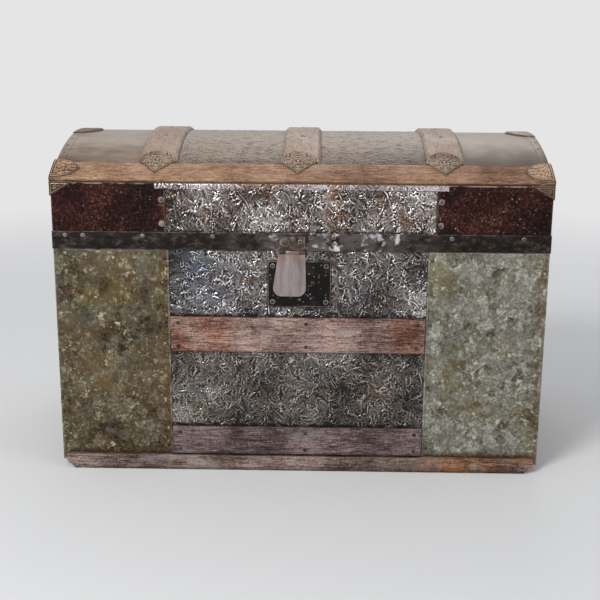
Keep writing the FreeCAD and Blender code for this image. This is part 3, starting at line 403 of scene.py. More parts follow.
def zinc_material(name, tones, tints, stained, yellowed, chip, edge_x):
    """Spangled zinc in four tones, with the shares of it that are stained brown and yellow."""
    material, tree, place = bare_material(name)
    ragged = shaken(tree, place, 90.0, 0.012)
    soft = shaken(tree, place, 24.0, 0.03)
    crystal = put(tree, "TexVoronoi", {"Vector": ragged, "Scale": 170.0}).outputs["Color"]
    crystal = put(tree, "SeparateColor", {"Color": crystal}).outputs["Red"]
    flake = put(tree, "TexVoronoi", {"Vector": ragged, "Scale": 62.0}).outputs["Color"]
    flake = put(tree, "SeparateColor", {"Color": flake}).outputs["Green"]
    frost = noisy(tree, place, 210.0, 6.0, 0.7, 0.5)
    cloud = noisy(tree, soft, 9.0, 5.0)
    tone = reckon(tree, "MULTIPLY", frost, 0.8)
    for part, share in ((crystal, 0.15), (flake, 0.2), (cloud, 0.6)):
        tone = reckon(tree, "MULTIPLY_ADD", part, share, tone)
    colour = ramp(tree, reckon(tree, "SUBTRACT", tone, 0.375), zip((0.31, 0.44, 0.56, 0.7), tones))
    fine = spread_mask(tree, ragged, 90.0, 0.15, 0.6)
    slate, brown, ochre = tints
    for shift, scale, share, hold, tint in (
        ((0.3, 0.7, 0.2), 8.0, 0.44, 0.55, slate),
        ((0.0, 0.0, 0.0), 9.0, stained, 0.72, brown),
        ((0.8, 0.1, 0.5), 11.0, yellowed, 0.6, ochre),
        ((0.1, 0.9, 0.4), 36.0, 0.42, 0.55, brown),
        ((0.5, 0.2, 0.9), 30.0, 0.46, 0.5, slate),
    ):
        spot = put(tree, "VectorMath", {0: soft, 1: shift}, operation="ADD").outputs[0]
        spot = weigh(tree, spread_mask(tree, spot, scale, 0.93 - share, 1.13 - share, 6.0), fine)
        colour = coated(tree, colour, spot, hold, tint)
    apart = axes(tree, ragged)
    beside = near_x(tree, ragged, edge_x, 0.026)
    foot = spanned(tree, apart["Z"], 0.038, 0.026)
    rust = weigh(
        tree, weigh(tree, beside, foot, "MAXIMUM"), spread_mask(tree, place, 70.0, 0.38, 0.6)
    )
    colour = coated(tree, colour, rust, 0.75, (84, 56, 20))
    for scale, reach, share, size in ((90.0, 0.03, 0.5, 0.55), (170.0, 0.018, 0.5, 0.55)):
        chips = fleck_mask(tree, shaken(tree, place, scale * 0.9, reach), scale, share, size)
        pale = weigh(tree, chips["Mask"], weigh(tree, chips["Shade"], 0.95))
        pale = weigh(tree, pale, spread_mask(tree, place, 26.0, 0.42, 0.62))
        colour = between(tree, pale, colour, srgb(*chip))
    pits = fleck_mask(tree, ragged, 230.0, 0.16, 0.4)["Mask"]
    colour = coated(tree, colour, pits, 0.6, (42, 34, 22))
    # Dirt and painted shade in hollows and beside the pieces that stand on the zinc.
    colour = coated(tree, colour, dirt_and_shade_mask(tree, place, 0.012), 0.7, (48, 38, 24))
    rubbed = edge_mask(tree, place, 0.003)
    colour = coated(tree, colour, rubbed, 0.65, (182, 182, 178))
    roughness = spanned(tree, frost, 0.35, 0.65, 0.62, 0.4)
    dents = noisy(tree, place, 11.0, 2.0)
    normal = bump(tree, dents, 0.5, 0.006)
    normal = bump(tree, frost, 0.3, 0.0008, normal)
    principled(tree, colour, roughness, normal, 0.4, 0.3)
    return material


casing_face, end_face = 0.2285, 0.4065
upper_slat, lower_slat = (0.2095, 0.2695), (0.0265, 0.0765)
seam_left, seam_right, lid_seam = -0.217, 0.209, 0.220
runner_top, rim_top = 0.0255, 0.381
band_top, fold_foot = 0.411, 0.4815
zinc_left = zinc_material(
    "zinc_left", ((29, 23, 13), (75, 63, 45), (96, 87, 69), (142, 136, 115)),
    ((104, 106, 93), (72, 53, 34), (110, 90, 43)), 0.5, 0.42, (214, 202, 156), seam_left)
zinc_right = zinc_material(
    "zinc_right", ((58, 51, 39), (103, 98, 84), (128, 126, 115), (176, 177, 167)),
    ((118, 124, 120), (88, 75, 49), (118, 103, 63)), 0.42, 0.44, (222, 220, 198), end_face)
dressed(zinc_left, "box_casing_left")
dressed(zinc_right, "box_casing_right")


def fresh(operator, **settings):
    """Adds one primitive with everything else deselected, and returns it."""
    bpy.ops.object.select_all(action="DESELECT")
    operator(**settings)
    return bpy.context.object


def alone(piece):
    """Makes a piece the only one selected, and the active one."""
    bpy.ops.object.select_all(action="DESELECT")
    piece.select_set(True)
    bpy.context.view_layer.objects.active = piece


def on_all(*steps):
    """Takes each of the steps in edit mode, on the whole of the active piece."""
    bpy.ops.object.mode_set(mode="EDIT")
    bpy.ops.mesh.select_all(action="SELECT")
    for step, settings in steps:
        step(**settings)
    bpy.ops.object.mode_set(mode="OBJECT")


outward = (bpy.ops.mesh.normals_make_consistent, {"inside": False})


def points(mesh):
    """A mesh's points, one row for each."""
    flat = np.zeros(len(mesh.vertices) * 3)
    mesh.vertices.foreach_get("co", flat)
    return flat.reshape(-1, 3)


def move_points(mesh, places):
    """Moves a mesh's points to the rows of places."""
    mesh.vertices.foreach_set("co", places.ravel())
    mesh.update()


def settle(piece, name, material):
    """Puts a piece's place into its mesh, names it and gives it its finish."""
    alone(piece)
    bpy.ops.object.transform_apply(location=True, rotation=True, scale=True)
    piece.name = piece.data.name = name
    piece.data.materials.clear()
    piece.data.materials.append(material)


def rounded_off(piece, width, steps=2, angle=30.0):
    """Rounds a piece's edges with a Bevel, applied."""
    bevel = piece.modifiers.new("rounding", "BEVEL")
    bevel.width, bevel.segments, bevel.limit_method = width, steps, "ANGLE"
    bevel.angle_limit = math.radians(angle)
    bevel.harden_normals = False
    bpy.context.view_layer.objects.active = piece
    bpy.ops.object.modifier_apply(modifier=bevel.name)
    return piece


def folded_seam(x, low, high, side, material):
    """One folded sheet edge: a flat bead standing on the casing, its inner edge at x."""
    fold, proud = 0.0028, 0.0008
    seam = fresh(
        bpy.ops.mesh.primitive_cube_add, size=1.0,
        location=(
            x + math.copysign(fold / 2, x), side * (casing_face + proud / 2 - 0.0001),
            (low + high) / 2,
        ),
    )
    seam.scale = (fold, proud + 0.0002, high - low)
    settle(seam, "seam", material)
    return rounded_off(seam, 0.00035, 3)


for side, tag in ((-1, "front"), (1, "back")):
    left = folded_seam(seam_left, runner_top + 0.0004, rim_top - 0.0004, side, zinc_left)
    right = folded_seam(seam_right, runner_top + 0.0004, rim_top - 0.0004, side, zinc_right)
    for seam, which in ((left, "left"), (right, "right")):
        seam.name = seam.data.name = "box_seam_%s_%s" % (which, tag)
        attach(seam, "trunk")

# ------------------------------------------------------------------ painted lid casings
# The sheets round the ends of the lid were painted oxblood. The gloss is dull now, with dirt
# and painted shade along the edges, fine scratches and pale specks where the paint has come off the
# tin.
oxblood, tree, place = bare_material("oxblood_sheet")
ragged = shaken(tree, place, 50.0, 0.01)
blot = noisy(tree, ragged, 230.0, 6.0, 0.7)
tone = reckon(tree, "MULTIPLY_ADD", noisy(tree, ragged, 13.0, 4.0), 0.6, blot)
colour = ramp(tree, reckon(tree, "SUBTRACT", tone, 0.3), [
    (0.36, (6, 3, 3)), (0.47, (32, 11, 9)), (0.57, (50, 20, 15)), (0.72, (92, 57, 46))
])
scuffs = stretched(tree, ragged, (60.0, 60.0, 14.0))
scuffs = spread_mask(tree, scuffs, 1.3, 0.6, 0.72, 7.0)
colour = coated(tree, colour, scuffs, 0.25, (100, 70, 56))
bare = fleck_mask(tree, shaken(tree, place, 140.0, 0.012), 240.0, 0.42, 0.42)
chipped = weigh(
    tree, weigh(tree, bare["Mask"], bare["Shade"]), spread_mask(tree, place, 24.0, 0.38, 0.6)
)
colour = between(tree, chipped, colour, srgb(150, 128, 114))
# Dirt and painted shade where the sheet meets the band, the slats and the clamps.
colour = coated(tree, colour, dirt_and_shade_mask(tree, place, 0.01), 0.7, (14, 8, 6))
apart = axes(tree, place)
hem = reckon(tree, "COMPARE", apart["Z"], fold_foot + 0.0003, 0.003)
rubbed = weigh(
    tree, edge_mask(tree, place, 0.0025), weigh(tree, 1.0, weigh(tree, hem, 0.8), "SUBTRACT")
)
colour = coated(tree, colour, rubbed, 0.7, (136, 118, 104))
lip = spanned(tree, apart["Z"], 0.4884, 0.4894)
outer = reckon(tree, "ABSOLUTE", apart["Y"])
lip = weigh(tree, lip, weigh(tree, outer, casing_face - 0.0002, "GREATER_THAN"))
lip = weigh(tree, lip, spread_mask(tree, ragged, 60.0, 0.44, 0.6))
colour = coated(tree, colour, lip, 0.75, (150, 134, 128))
dents = noisy(tree, place, 16.0, 3.0)
normal = bump(tree, blot, 0.4, 0.0008, bump(tree, dents, 0.4, 0.005))
principled(tree, colour, spanned(tree, blot, 0.35, 0.65, 0.32, 0.5), normal, specular=0.12)
dressed(oxblood, "lid_casing_left", "lid_casing_right")
for side, tag in ((-1, "front"), (1, "back")):
    for x, which in ((-lid_seam, "left"), (lid_seam, "right")):
        seam = folded_seam(x, band_top + 0.0003, fold_foot - 0.0003, side, oxblood)
        seam.name = seam.data.name = "lid_seam_%s_%s" % (which, tag)
        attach(seam, "lid")

# ------------------------------------------------------------------ embossed tin
# Between the casings the box and the lid are faced with thin tin, pressed all over with small
# overlapping leaves. It was blackened, and the ribs and rims are rubbed back to bright metal.


def rippled(rows, columns, pitch, shortest, longest, dice):
    """Random waves on a grid, of the wavelengths between shortest and longest, of unit spread."""
    waves = np.fft.rfft2(dice.standard_normal((rows, columns)))
    per_metre = np.hypot(
        np.fft.fftfreq(rows, pitch)[:, None], np.fft.rfftfreq(columns, pitch)[None, :]
    )
    middle, spread = (1 / shortest + 1 / longest) / 2, (1 / shortest - 1 / longest) / 2
    field = np.fft.irfft2(waves * np.exp(-((per_metre - middle) / spread) ** 2), s=(rows, columns))
    return field / field.std()


def softened(field, reach):
    """The field averaged over reach cells each way, twice."""
    for axis in (0, 1, 0, 1):
        pad = [(0, 0), (0, 0)]
        pad[axis] = (reach + 1, reach)
        sums = np.cumsum(np.pad(field, pad, mode="edge"), axis=axis)
        many = sums.shape[axis]
        ahead = np.take(sums, range(2 * reach + 1, many), axis)
        field = (ahead - np.take(sums, range(0, many - 2 * reach - 1), axis)) / (2 * reach + 1)
    return field


def pressed_leaves(wide, high, pitch, seed, leaf_length=(0.012, 0.03), crowding=2.2, lie=math.pi,
                   vein=0.0056):
    """Relief on a grid, 0 to 1: overlapping leaves with cut, raised edges and veins, and stems."""
    dice = np.random.default_rng(seed)
    columns, rows = int(round(wide / pitch)) + 1, int(round(high / pitch)) + 1
    x, y = np.linspace(0, wide, columns), np.linspace(0, high, rows)
    tendrils = np.exp(-((rippled(rows, columns, pitch, vein, 2.3 * vein, dice) / 0.6) ** 2))
    relief = 0.1 + 0.6 * tendrils
    sway = 0.13 * rippled(rows, columns, pitch, 1.6 * vein, 6 * vein, dice)
    mean_area = (sum(leaf_length) / 2) ** 2 * 0.42
    for count in range(int(wide * high / mean_area * crowding)):
        stem = count % 12 == 0
        length = dice.uniform(*leaf_length) * (1.2 if stem else 1.0)
        turn, bend = dice.uniform(-lie, lie), dice.uniform(-40, 40)
        middle_x, middle_y = dice.uniform(0, wide), dice.uniform(0, high)
        half = 0.0018 if stem else length * dice.uniform(0.3, 0.42)
        lobes, tall, tilt = dice.integers(2, 5), dice.uniform(0.4, 0.66), dice.uniform(-0.24, 0.24)
        lean, size = dice.uniform(0.4, 1.1), length * 0.75 + 0.003
        first, last = np.searchsorted(x, (middle_x - size, middle_x + size))
        low, top = np.searchsorted(y, (middle_y - size, middle_y + size))
        if last - first < 2 or top - low < 2:
            continue
        gx, gy = np.meshgrid(x[first:last] - middle_x, y[low:top] - middle_y)
        along = gx * math.cos(turn) + gy * math.sin(turn)
        across = -gx * math.sin(turn) + gy * math.cos(turn) - bend * along**2
        part = along / length + 0.5
        swell = np.sin(np.pi * np.clip(part, 0, 1) ** 0.8) ** 0.7
        if not stem:
            swell = swell * (1 - 0.34 * np.abs(np.sin(lobes * np.pi * part)))
        edge = half * swell - np.abs(across)
        inside = (edge > 0) & (part > 0) & (part < 1)
        moat = (edge > -0.0012) & ~inside & (part > -0.04) & (part < 1.04)
        if stem:
            face = 0.15 + 0.65 * np.exp(-((across / 0.0008) ** 2))
        else:
            fan = (along - lean * np.abs(across)) / vein + sway[low:top, first:last]
            rim = np.exp(-(((edge - 0.0009) / 0.0008) ** 2))
            groove = np.exp(-((across / 0.0011) ** 2))
            veins = np.cos(2 * np.pi * fan) ** 3
            face = 0.5 * tall + tilt * across / half + 0.22 * veins + 0.5 * rim - 0.25 * groove
        patch = relief[low:top, first:last]
        patch[moat] = 0.04
        patch[inside] = np.clip(face, 0.0, 1.0)[inside]
    padded = np.pad(relief, 1, mode="edge")
    relief = (padded[1:-1, :-2] + 4.0 * padded[1:-1, 1:-1] + padded[1:-1, 2:]) / 6.0
    padded = np.pad(relief, 1, mode="edge")
    relief = (padded[:-2, 1:-1] + 4.0 * padded[1:-1, 1:-1] + padded[2:, 1:-1]) / 6.0
    broad = softened(relief, max(2, int(1.2 * vein / pitch)))
    depth = np.clip(1 + 0.42 * rippled(rows, columns, pitch, 3 * vein, 10 * vein, dice), 0.4, 1.7)
    return np.clip(0.45 + 0.95 * depth * (relief - broad) + 0.6 * (broad - broad.mean()), 0, 1)


def rising(relief, pitch, margin):
    """How far the relief is let up, from 0 at the sheet's border to 1 inside it."""
    rows, columns = relief.shape
    to_x = np.minimum(np.arange(columns), np.arange(columns)[::-1]) * pitch
    to_y = np.minimum(np.arange(rows), np.arange(rows)[::-1]) * pitch
    return np.clip(np.minimum(to_y[:, None], to_x[None, :]) / margin, 0, 1)


def select_border():
    """Selects the open edges of the piece that is being edited."""
    bpy.ops.mesh.select_mode(type="EDGE")
    bpy.ops.mesh.select_all(action="DESELECT")
    bpy.ops.mesh.select_non_manifold(
        extend=False, use_wire=False, use_boundary=True, use_multi_face=False,
        use_non_contiguous=False, use_verts=False,
    )


def grid(rows, columns):
    """A flat grid, a metre each way, of that many points."""
    return fresh(bpy.ops.mesh.primitive_grid_add, x_subdivisions=columns - 1,
                 y_subdivisions=rows - 1, size=1.0)


def relief_sheet(name, relief, shape, material, skirt, window=None):
    """A grid mesh moved to the points that shape gives, with its border turned back by skirt.

    window is a hole cut out of a flat sheet: left, right, low, high.
    """
    rows, columns = relief.shape
    sheet = grid(rows, columns)
    mesh = sheet.data
    flat = points(mesh)
    column = np.rint((flat[:, 0] + 0.5) * (columns - 1)).astype(int)
    row = np.rint((flat[:, 1] + 0.5) * (rows - 1)).astype(int)
    heights = relief[row, column]
    mesh.attributes.new("relief", "FLOAT", "POINT").data.foreach_set("value", heights)
    move_points(mesh, shape(column, row, heights))
    if window:
        left, right, low, high = window
        bpy.ops.object.mode_set(mode="EDIT")
        bpy.ops.mesh.select_mode(type="FACE")
        bpy.ops.mesh.select_all(action="DESELECT")
        bpy.ops.object.mode_set(mode="OBJECT")
        for face in mesh.polygons:
            x, _, z = face.center
            face.select = left < x < right and low < z < high
        bpy.ops.object.mode_set(mode="EDIT")
        bpy.ops.mesh.delete(type="FACE")
        bpy.ops.object.mode_set(mode="OBJECT")
    bpy.ops.object.mode_set(mode="EDIT")
    select_border()
    bpy.ops.mesh.extrude_edges_move(TRANSFORM_OT_translate={"value": skirt})
    bpy.ops.object.mode_set(mode="OBJECT")
    settle(sheet, name, material)
    bpy.ops.object.shade_smooth()
    return sheet


def overlaid(tree, colour, mask, share, tone):
    """The colour tinted by a painter's tone where the mask is, as strongly as share."""
    tinted = put(tree, "Mix", {"Factor": 1.0, 6: colour, 7: srgb(*tone)}, data_type="RGBA",
                 blend_type="OVERLAY").outputs[2]
    return between(tree, weigh(tree, mask, share), colour, tinted)


def off_front(tree, vector, x, z):
    """How far away a place on the front of the box is."""
    spot = {0: vector, 1: (x, -casing_face, z)}
    return put(tree, "VectorMath", spot, operation="DISTANCE").outputs["Value"]


def tin_material(name, tones, patina, rust, metallic, darkened, cool=None, foot=None):
    """Blackened tin in five tones by its relief, patched with patina and rust.

    It is bluer round cool (x, z), and has a torn line of painted shade just above the height foot.
    """
    material, tree, place = bare_material(name)
    relief = put(tree, "Attribute", attribute_name="relief").outputs["Fac"]
    ragged = shaken(tree, place, 40.0, 0.014)
    darkening = spread_mask(tree, ragged, 12.0, 0.6 - darkened, 0.8 - darkened, 6.0)
    level = reckon(tree, "MULTIPLY_ADD", darkening, -0.3, relief)
    speckle = noisy(tree, place, 340.0, 4.0, 0.7)
    level = reckon(tree, "MULTIPLY_ADD", speckle, 0.35, level)
    wide = noisy(tree, ragged, 15.0, 4.0)
    level = reckon(tree, "MULTIPLY_ADD", wide, 0.95, level)
    level = reckon(tree, "SUBTRACT", level, 0.72)
    colour = ramp(tree, level, zip((0.08, 0.24, 0.4, 0.58, 0.78), tones))
    if cool:
        blue = spanned(tree, off_front(tree, ragged, *cool), 0.09, 0.0, smooth=True)
        colour = overlaid(tree, colour, blue, 0.42, (112, 134, 160))
        corner = off_front(tree, ragged, seam_left, rim_top)
        soot = spanned(tree, corner, 0.045, 0.015, smooth=True)
        colour = coated(tree, colour, soot, 0.62, (26, 20, 17))
    stain = spread_mask(tree, ragged, 9.0, 0.54, 0.68, 5.0)
    colour = overlaid(tree, colour, stain, 0.55, patina)
    stain = spread_mask(tree, ragged, 26.0, 0.52, 0.66, 6.0)
    colour = overlaid(tree, colour, stain, 0.6, rust)
    # Painted shade: a torn dark line just above the slat or band that stands out below the sheet.
    if foot:
        shade_line = spanned(tree, axes(tree, place)["Z"], foot + 0.0062, foot + 0.0042)
        shade_line = weigh(tree, shade_line, spread_mask(tree, ragged, 70.0, 0.43, 0.56))
        colour = coated(tree, colour, shade_line, 0.88, (14, 11, 10))
    # Dirt and painted shade in the hollows of the relief and beside whatever stands on the tin.
    colour = coated(tree, colour, dirt_and_shade_mask(tree, place, 0.004), 0.6, (26, 21, 17))
    shine = spanned(tree, level, 0.1, 0.7, 0.2, metallic)
    roughness = spanned(tree, level, 0.1, 0.7, 0.5, 0.22)
    dents = noisy(tree, place, 9.0, 2.0)
    normal = bump(tree, speckle, 0.3, 0.0004, bump(tree, dents, 0.35, 0.006))
    principled(tree, colour, roughness, normal, shine, 0.35)
    return material


box_tin = tin_material(
    "box_tin", ((16, 12, 10), (66, 60, 57), (108, 103, 102), (156, 152, 150), (236, 234, 234)),
    (112, 126, 150), (160, 120, 78), 0.85, 0.06, (-0.165, 0.327), upper_slat[1])
low_tin = tin_material(
    "low_tin", ((12, 9, 8), (52, 47, 43), (89, 83, 78), (132, 125, 118), (190, 183, 174)),
    (118, 130, 142), (154, 120, 82), 0.65, 0.08, None, lower_slat[1])
lid_tin = tin_material(
    "lid_tin", ((15, 12, 9), (66, 58, 52), (114, 104, 99), (176, 166, 162), (254, 250, 248)),
    (122, 132, 126), (176, 132, 80), 0.85, 0.05, None, band_top - 0.002)
# A lighter copy of the tin for the roll over the arris and the lock's surround: rubbed metal, and a
# painted highlight.
rubbed_tin_painted_highlight = tin_material(
    "rubbed_tin_painted_highlight", ((50, 42, 38), (112, 102, 98), (164, 154, 154), (214, 206, 208), (250, 248, 248)),
    (124, 122, 140), (182, 134, 94), 0.9, 0.0)


def front_sheet(name, left, right, low, high, pitch, seed, side, material, body, window=None):
    """Pressed tin between four edges of the front (side -1) or the back (side 1)."""
    relief = pressed_leaves(right - left, high - low, pitch, seed)
    rise = rising(relief, pitch, 0.002)
    rows, columns = relief.shape

    def shape(column, row, heights):
        x = left + (right - left) * column / (columns - 1)
        if side > 0:
            x = left + right - x
        z = low + (high - low) * row / (rows - 1)
        y = side * (casing_face - 0.0002 + 0.0018 * (heights - 0.25) * rise[row, column])
        return np.stack([x, y, z], axis=1)

    sheet = relief_sheet(name, relief, shape, material, (0, -side * 0.0006, 0), window)
    if side < 0:
        on_all(outward)
    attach(sheet, body)
    return sheet


lock_window = (-0.034, 0.03, 0.3013, 0.3512)
tin_under_slat = 0.001
upper_tin = (upper_slat[1] - tin_under_slat, rim_top)
middle_tin = (lower_slat[1] - tin_under_slat, upper_slat[0] + tin_under_slat)
box_front_tin = [
    front_sheet("box_tin_front_" + level, seam_left, seam_right, *levels, pitch, seed, -1, tin,
                "trunk", window)
    for level, levels, pitch, seed, tin, window in (
        ("upper", upper_tin, 0.00078, 11, box_tin, lock_window),
        ("middle", middle_tin, 0.0008, 12, low_tin, None),
    )
]
for level, levels, seed, tin in (
    ("upper", upper_tin, 13, box_tin), ("middle", middle_tin, 14, low_tin)
):
    front_sheet("box_tin_back_" + level, seam_left, seam_right, *levels, 0.0012, seed, 1, tin,
                "trunk")
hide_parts("box_embossed_sheets")
lid_tin_low, lid_tin_high = 0.3822, fold_foot + 0.0005
lid_front_tin = front_sheet("lid_tin_front", -lid_seam, lid_seam, lid_tin_low, lid_tin_high,
                            0.00078, 15, -1, lid_tin, "lid")
front_sheet("lid_tin_back", -lid_seam, lid_seam, lid_tin_low, lid_tin_high, 0.0012, 16, 1, lid_tin,
            "lid")
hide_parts("lid_embossed_sheets")

# ------------------------------------------------------------------ hardwood slats and runners
# Thick slats are nailed over the tin, and two runners under the box keep it off the ground. They
# are sawn hardwood with planed-off edges, the varnish worn to a pink-brown with grey patches.


def slat_material(name, stretch, dark, middle, pale, grey, weathered, roughness=0.55, rusty=None):
    """Old varnished hardwood in three tones, grey where weathered and redder in places.

    rusty is (((x, reach, share), ...), (dark, middle, pale)).
    """
    material, tree, place = bare_material(name)
    figure = wood(tree, place, stretch)
    ragged = shaken(tree, place, 30.0, 0.02)
    tone = reckon(tree, "MULTIPLY_ADD", figure["Streak"], 0.4, figure["Fibre"])
    cloud = noisy(tree, ragged, 14.0, 4.0)
    tone = reckon(tree, "MULTIPLY_ADD", cloud, 0.5, tone)
    speckle = noisy(tree, place, 330.0, 3.0, 0.7)
    tone = reckon(tree, "MULTIPLY_ADD", speckle, 0.5, tone)
    tone = reckon(tree, "SUBTRACT", tone, 0.7)
    colour = ramp(tree, tone, [(0.34, dark), (0.5, middle), (0.66, pale)])
    if rusty:
        redder = ramp(tree, tone, zip((0.34, 0.5, 0.66), rusty[1]))
        red = weigh(tree, spread_mask(tree, ragged, 9.0, 0.56, 0.72, 6.0), 0.5)
        uneven = spread_mask(tree, ragged, 24.0, 0.3, 0.55)
        for x, reach, share in rusty[0]:
            stained = weigh(tree, near_x(tree, ragged, x, reach), weigh(tree, uneven, share))
            red = weigh(tree, red, stained, "MAXIMUM")
        colour = between(tree, red, colour, redder)
    drawn = stretched(tree, ragged, tuple(min(1.0, s / 60.0) for s in stretch))
    worn = spread_mask(tree, drawn, 26.0, 0.66 - weathered, 0.8 - weathered, 7.0)
    worn = weigh(tree, worn, 0.55)
    if rusty:
        worn = weigh(tree, worn, weigh(tree, 1.0, red, "SUBTRACT"))
    colour = between(tree, worn, colour, srgb(*grey))
    colour = coated(tree, colour, figure["Pores"], 0.6, tuple(int(c * 0.6) for c in dark))
    nicks = fleck_mask(tree, ragged, 90.0, 0.05, 0.3)["Mask"]
    colour = coated(tree, colour, nicks, 0.5, (52, 38, 34))
    # Dirt and painted shade in hollows and along the joints.
    colour = coated(
        tree, colour, dirt_and_shade_mask(tree, place, 0.008), 0.75, tuple(int(c * 0.4) for c in dark)
    )
    rubbed = edge_mask(tree, place, 0.002, 90.0)
    colour = coated(tree, colour, rubbed, 0.5, tuple(min(255, c + 24) for c in pale))
    normal = bump(tree, figure["Height"], 0.8, 0.0009)
    dull = spanned(tree, tone, 0.3, 0.7, roughness + 0.14, roughness - 0.1)
    principled(tree, colour, dull, normal, specular=0.35)
    return material


fine_grain = (30.0, 430.0, 430.0)
front_wood = slat_material(
    "front_slat_wood", fine_grain, (58, 36, 30), (129, 102, 93), (182, 156, 147), (156, 146, 142),
    0.1, 0.55,
    (((0.19, 0.06, 1.0), (-0.175, 0.085, 0.9)), ((44, 19, 10), (110, 64, 45), (176, 132, 107))),
)
foot_wood = slat_material("foot_slat_wood", fine_grain, (35, 22, 19), (91, 73, 70), (148, 128, 125),
                          (130, 122, 126), 0.13)
runner_wood = slat_material("runner_wood", fine_grain, (48, 32, 24), (112, 90, 80), (170, 152, 144),
                            (152, 142, 138), 0.15, 0.55,
                            (((0.33, 0.2, 1.0),), ((40, 19, 5), (108, 64, 34), (172, 120, 74))))
end_wood = slat_material("end_slat_wood", deep_grain, (60, 40, 34), (116, 92, 82), (164, 140, 130),
                         (148, 138, 134), 0.12)

mill_marks = bpy.data.textures.new("mill_marks", "CLOUDS")
mill_marks.noise_scale, mill_marks.noise_depth = 0.018, 3


def sawn_board(long, wide, thick, chamfer, name, pitch=0.006, sag=0.0009):
    """A flat board round the origin, its face up, with chamfered and slightly rough edges."""
    board = fresh(
        bpy.ops.mesh.primitive_grid_add, size=1.0, x_subdivisions=max(2, round(long / pitch)),
        y_subdivisions=max(2, round(wide / pitch)), location=(0, 0, 0),
    )
    board.scale = (long, wide, 1.0)
    bpy.ops.object.transform_apply(scale=True)
    board.name = name
    lifted = {"TRANSFORM_OT_translate": {"value": (0, 0, thick)}}
    on_all((bpy.ops.mesh.extrude_region_move, lifted))
    on_all(outward, (bpy.ops.mesh.select_all, {"action": "DESELECT"}),
           (bpy.ops.mesh.select_mode, {"type": "EDGE"}))
    for edge in board.data.edges:
        a, b = (board.data.vertices[i].co for i in edge.vertices)
        high = min(a.z, b.z) > thick - 1e-6
        side = abs(abs(a.x) - long / 2) < 1e-6 and abs(a.x - b.x) < 1e-6
        side = side or (abs(abs(a.y) - wide / 2) < 1e-6 and abs(a.y - b.y) < 1e-6)
        edge.select = high and side
    bpy.ops.object.mode_set(mode="EDIT")
    bpy.ops.mesh.bevel(offset=chamfer, offset_type="OFFSET", segments=1, affect="EDGES")
    bpy.ops.object.mode_set(mode="OBJECT")
    rounded_off(board, min(0.0007, chamfer * 0.4), 2, 25.0)
    rough = board.modifiers.new("mill", "DISPLACE")
    rough.texture, rough.texture_coords, rough.strength, rough.mid_level = (
        mill_marks, "LOCAL", sag, 0.56
    )
    bpy.ops.object.modifier_apply(modifier=rough.name)
    bpy.ops.object.shade_smooth_by_angle(angle=math.radians(35))
    return board


def stood_up(board, side, x, z):
    """Turns a board's face to the front (side -1) or the back (side 1), at x and z."""
    across, up, out = points(board.data).T
    places = np.stack([-side * across + x, side * (casing_face + out), up + z], axis=1)
    move_points(board.data, places)


slat_left, slat_right, slat_thick = -0.216, 0.208, 0.007
end_slat_long = 0.396
slat_middle, slat_long = (slat_left + slat_right) / 2, slat_right - slat_left
for name, side, (low, high), finish, stands_for in (
    ("slat_front_upper", -1, upper_slat, front_wood, "front_slat_upper"),
    ("slat_front_lower", -1, lower_slat, foot_wood, "front_slat_lower"),
    ("slat_back_upper", 1, upper_slat, front_wood, "back_slats"),
    ("slat_back_lower", 1, lower_slat, foot_wood, "back_slats"),
):
    board = sawn_board(slat_long, high - low, slat_thick, 0.0018, name)
    stood_up(board, side, slat_middle, (low + high) / 2)
    settle(board, name, finish)
    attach(board, "trunk")
    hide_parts(stands_for)
for side, tag in ((-1, "left"), (1, "right")):
    for (low, high), level in ((upper_slat, "upper"), (lower_slat, "lower")):
        board = sawn_board(
            end_slat_long, high - low, slat_thick, 0.0018, "slat_%s_%s" % (tag, level)
        )
        across, up, out = points(board.data).T
        places = [side * (end_face + out), side * across, up + (low + high) / 2]
        move_points(board.data, np.stack(places, axis=1))
        settle(board, "slat_%s_%s" % (tag, level), end_wood)
        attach(board, "trunk")
        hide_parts("end_slats")


def solid_copy(node, name, material, round_by=0.0, steps=2):
    """A new piece from a CAD node's shape: its triangles merged into faces, its edges rounded."""
    bpy.ops.object.select_all(action="DESELECT")
    copy = nodes[node].copy()
    copy.data = nodes[node].data.copy()
    bpy.context.scene.collection.objects.link(copy)
    for key in list(copy.keys()):
        del copy[key]
    copy.parent = None
    copy.matrix_world = Matrix.Identity(4)
    settle(copy, name, material)
    on_all(
        (bpy.ops.mesh.remove_doubles, {"threshold": 0.00001}),
        (bpy.ops.mesh.customdata_custom_splitnormals_clear, {}),
        (bpy.ops.mesh.dissolve_limited, {"angle_limit": math.radians(1.0)}),
        (bpy.ops.mesh.select_all, {"action": "DESELECT"}),
    )
    if round_by:
        rounded_off(copy, round_by, steps)
    bpy.ops.object.shade_smooth_by_angle(angle=math.radians(35))
    return copy


runners = solid_copy("bottom_runners", "runners", runner_wood, 0.0012)
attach(runners, "trunk")
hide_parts("bottom_runners")
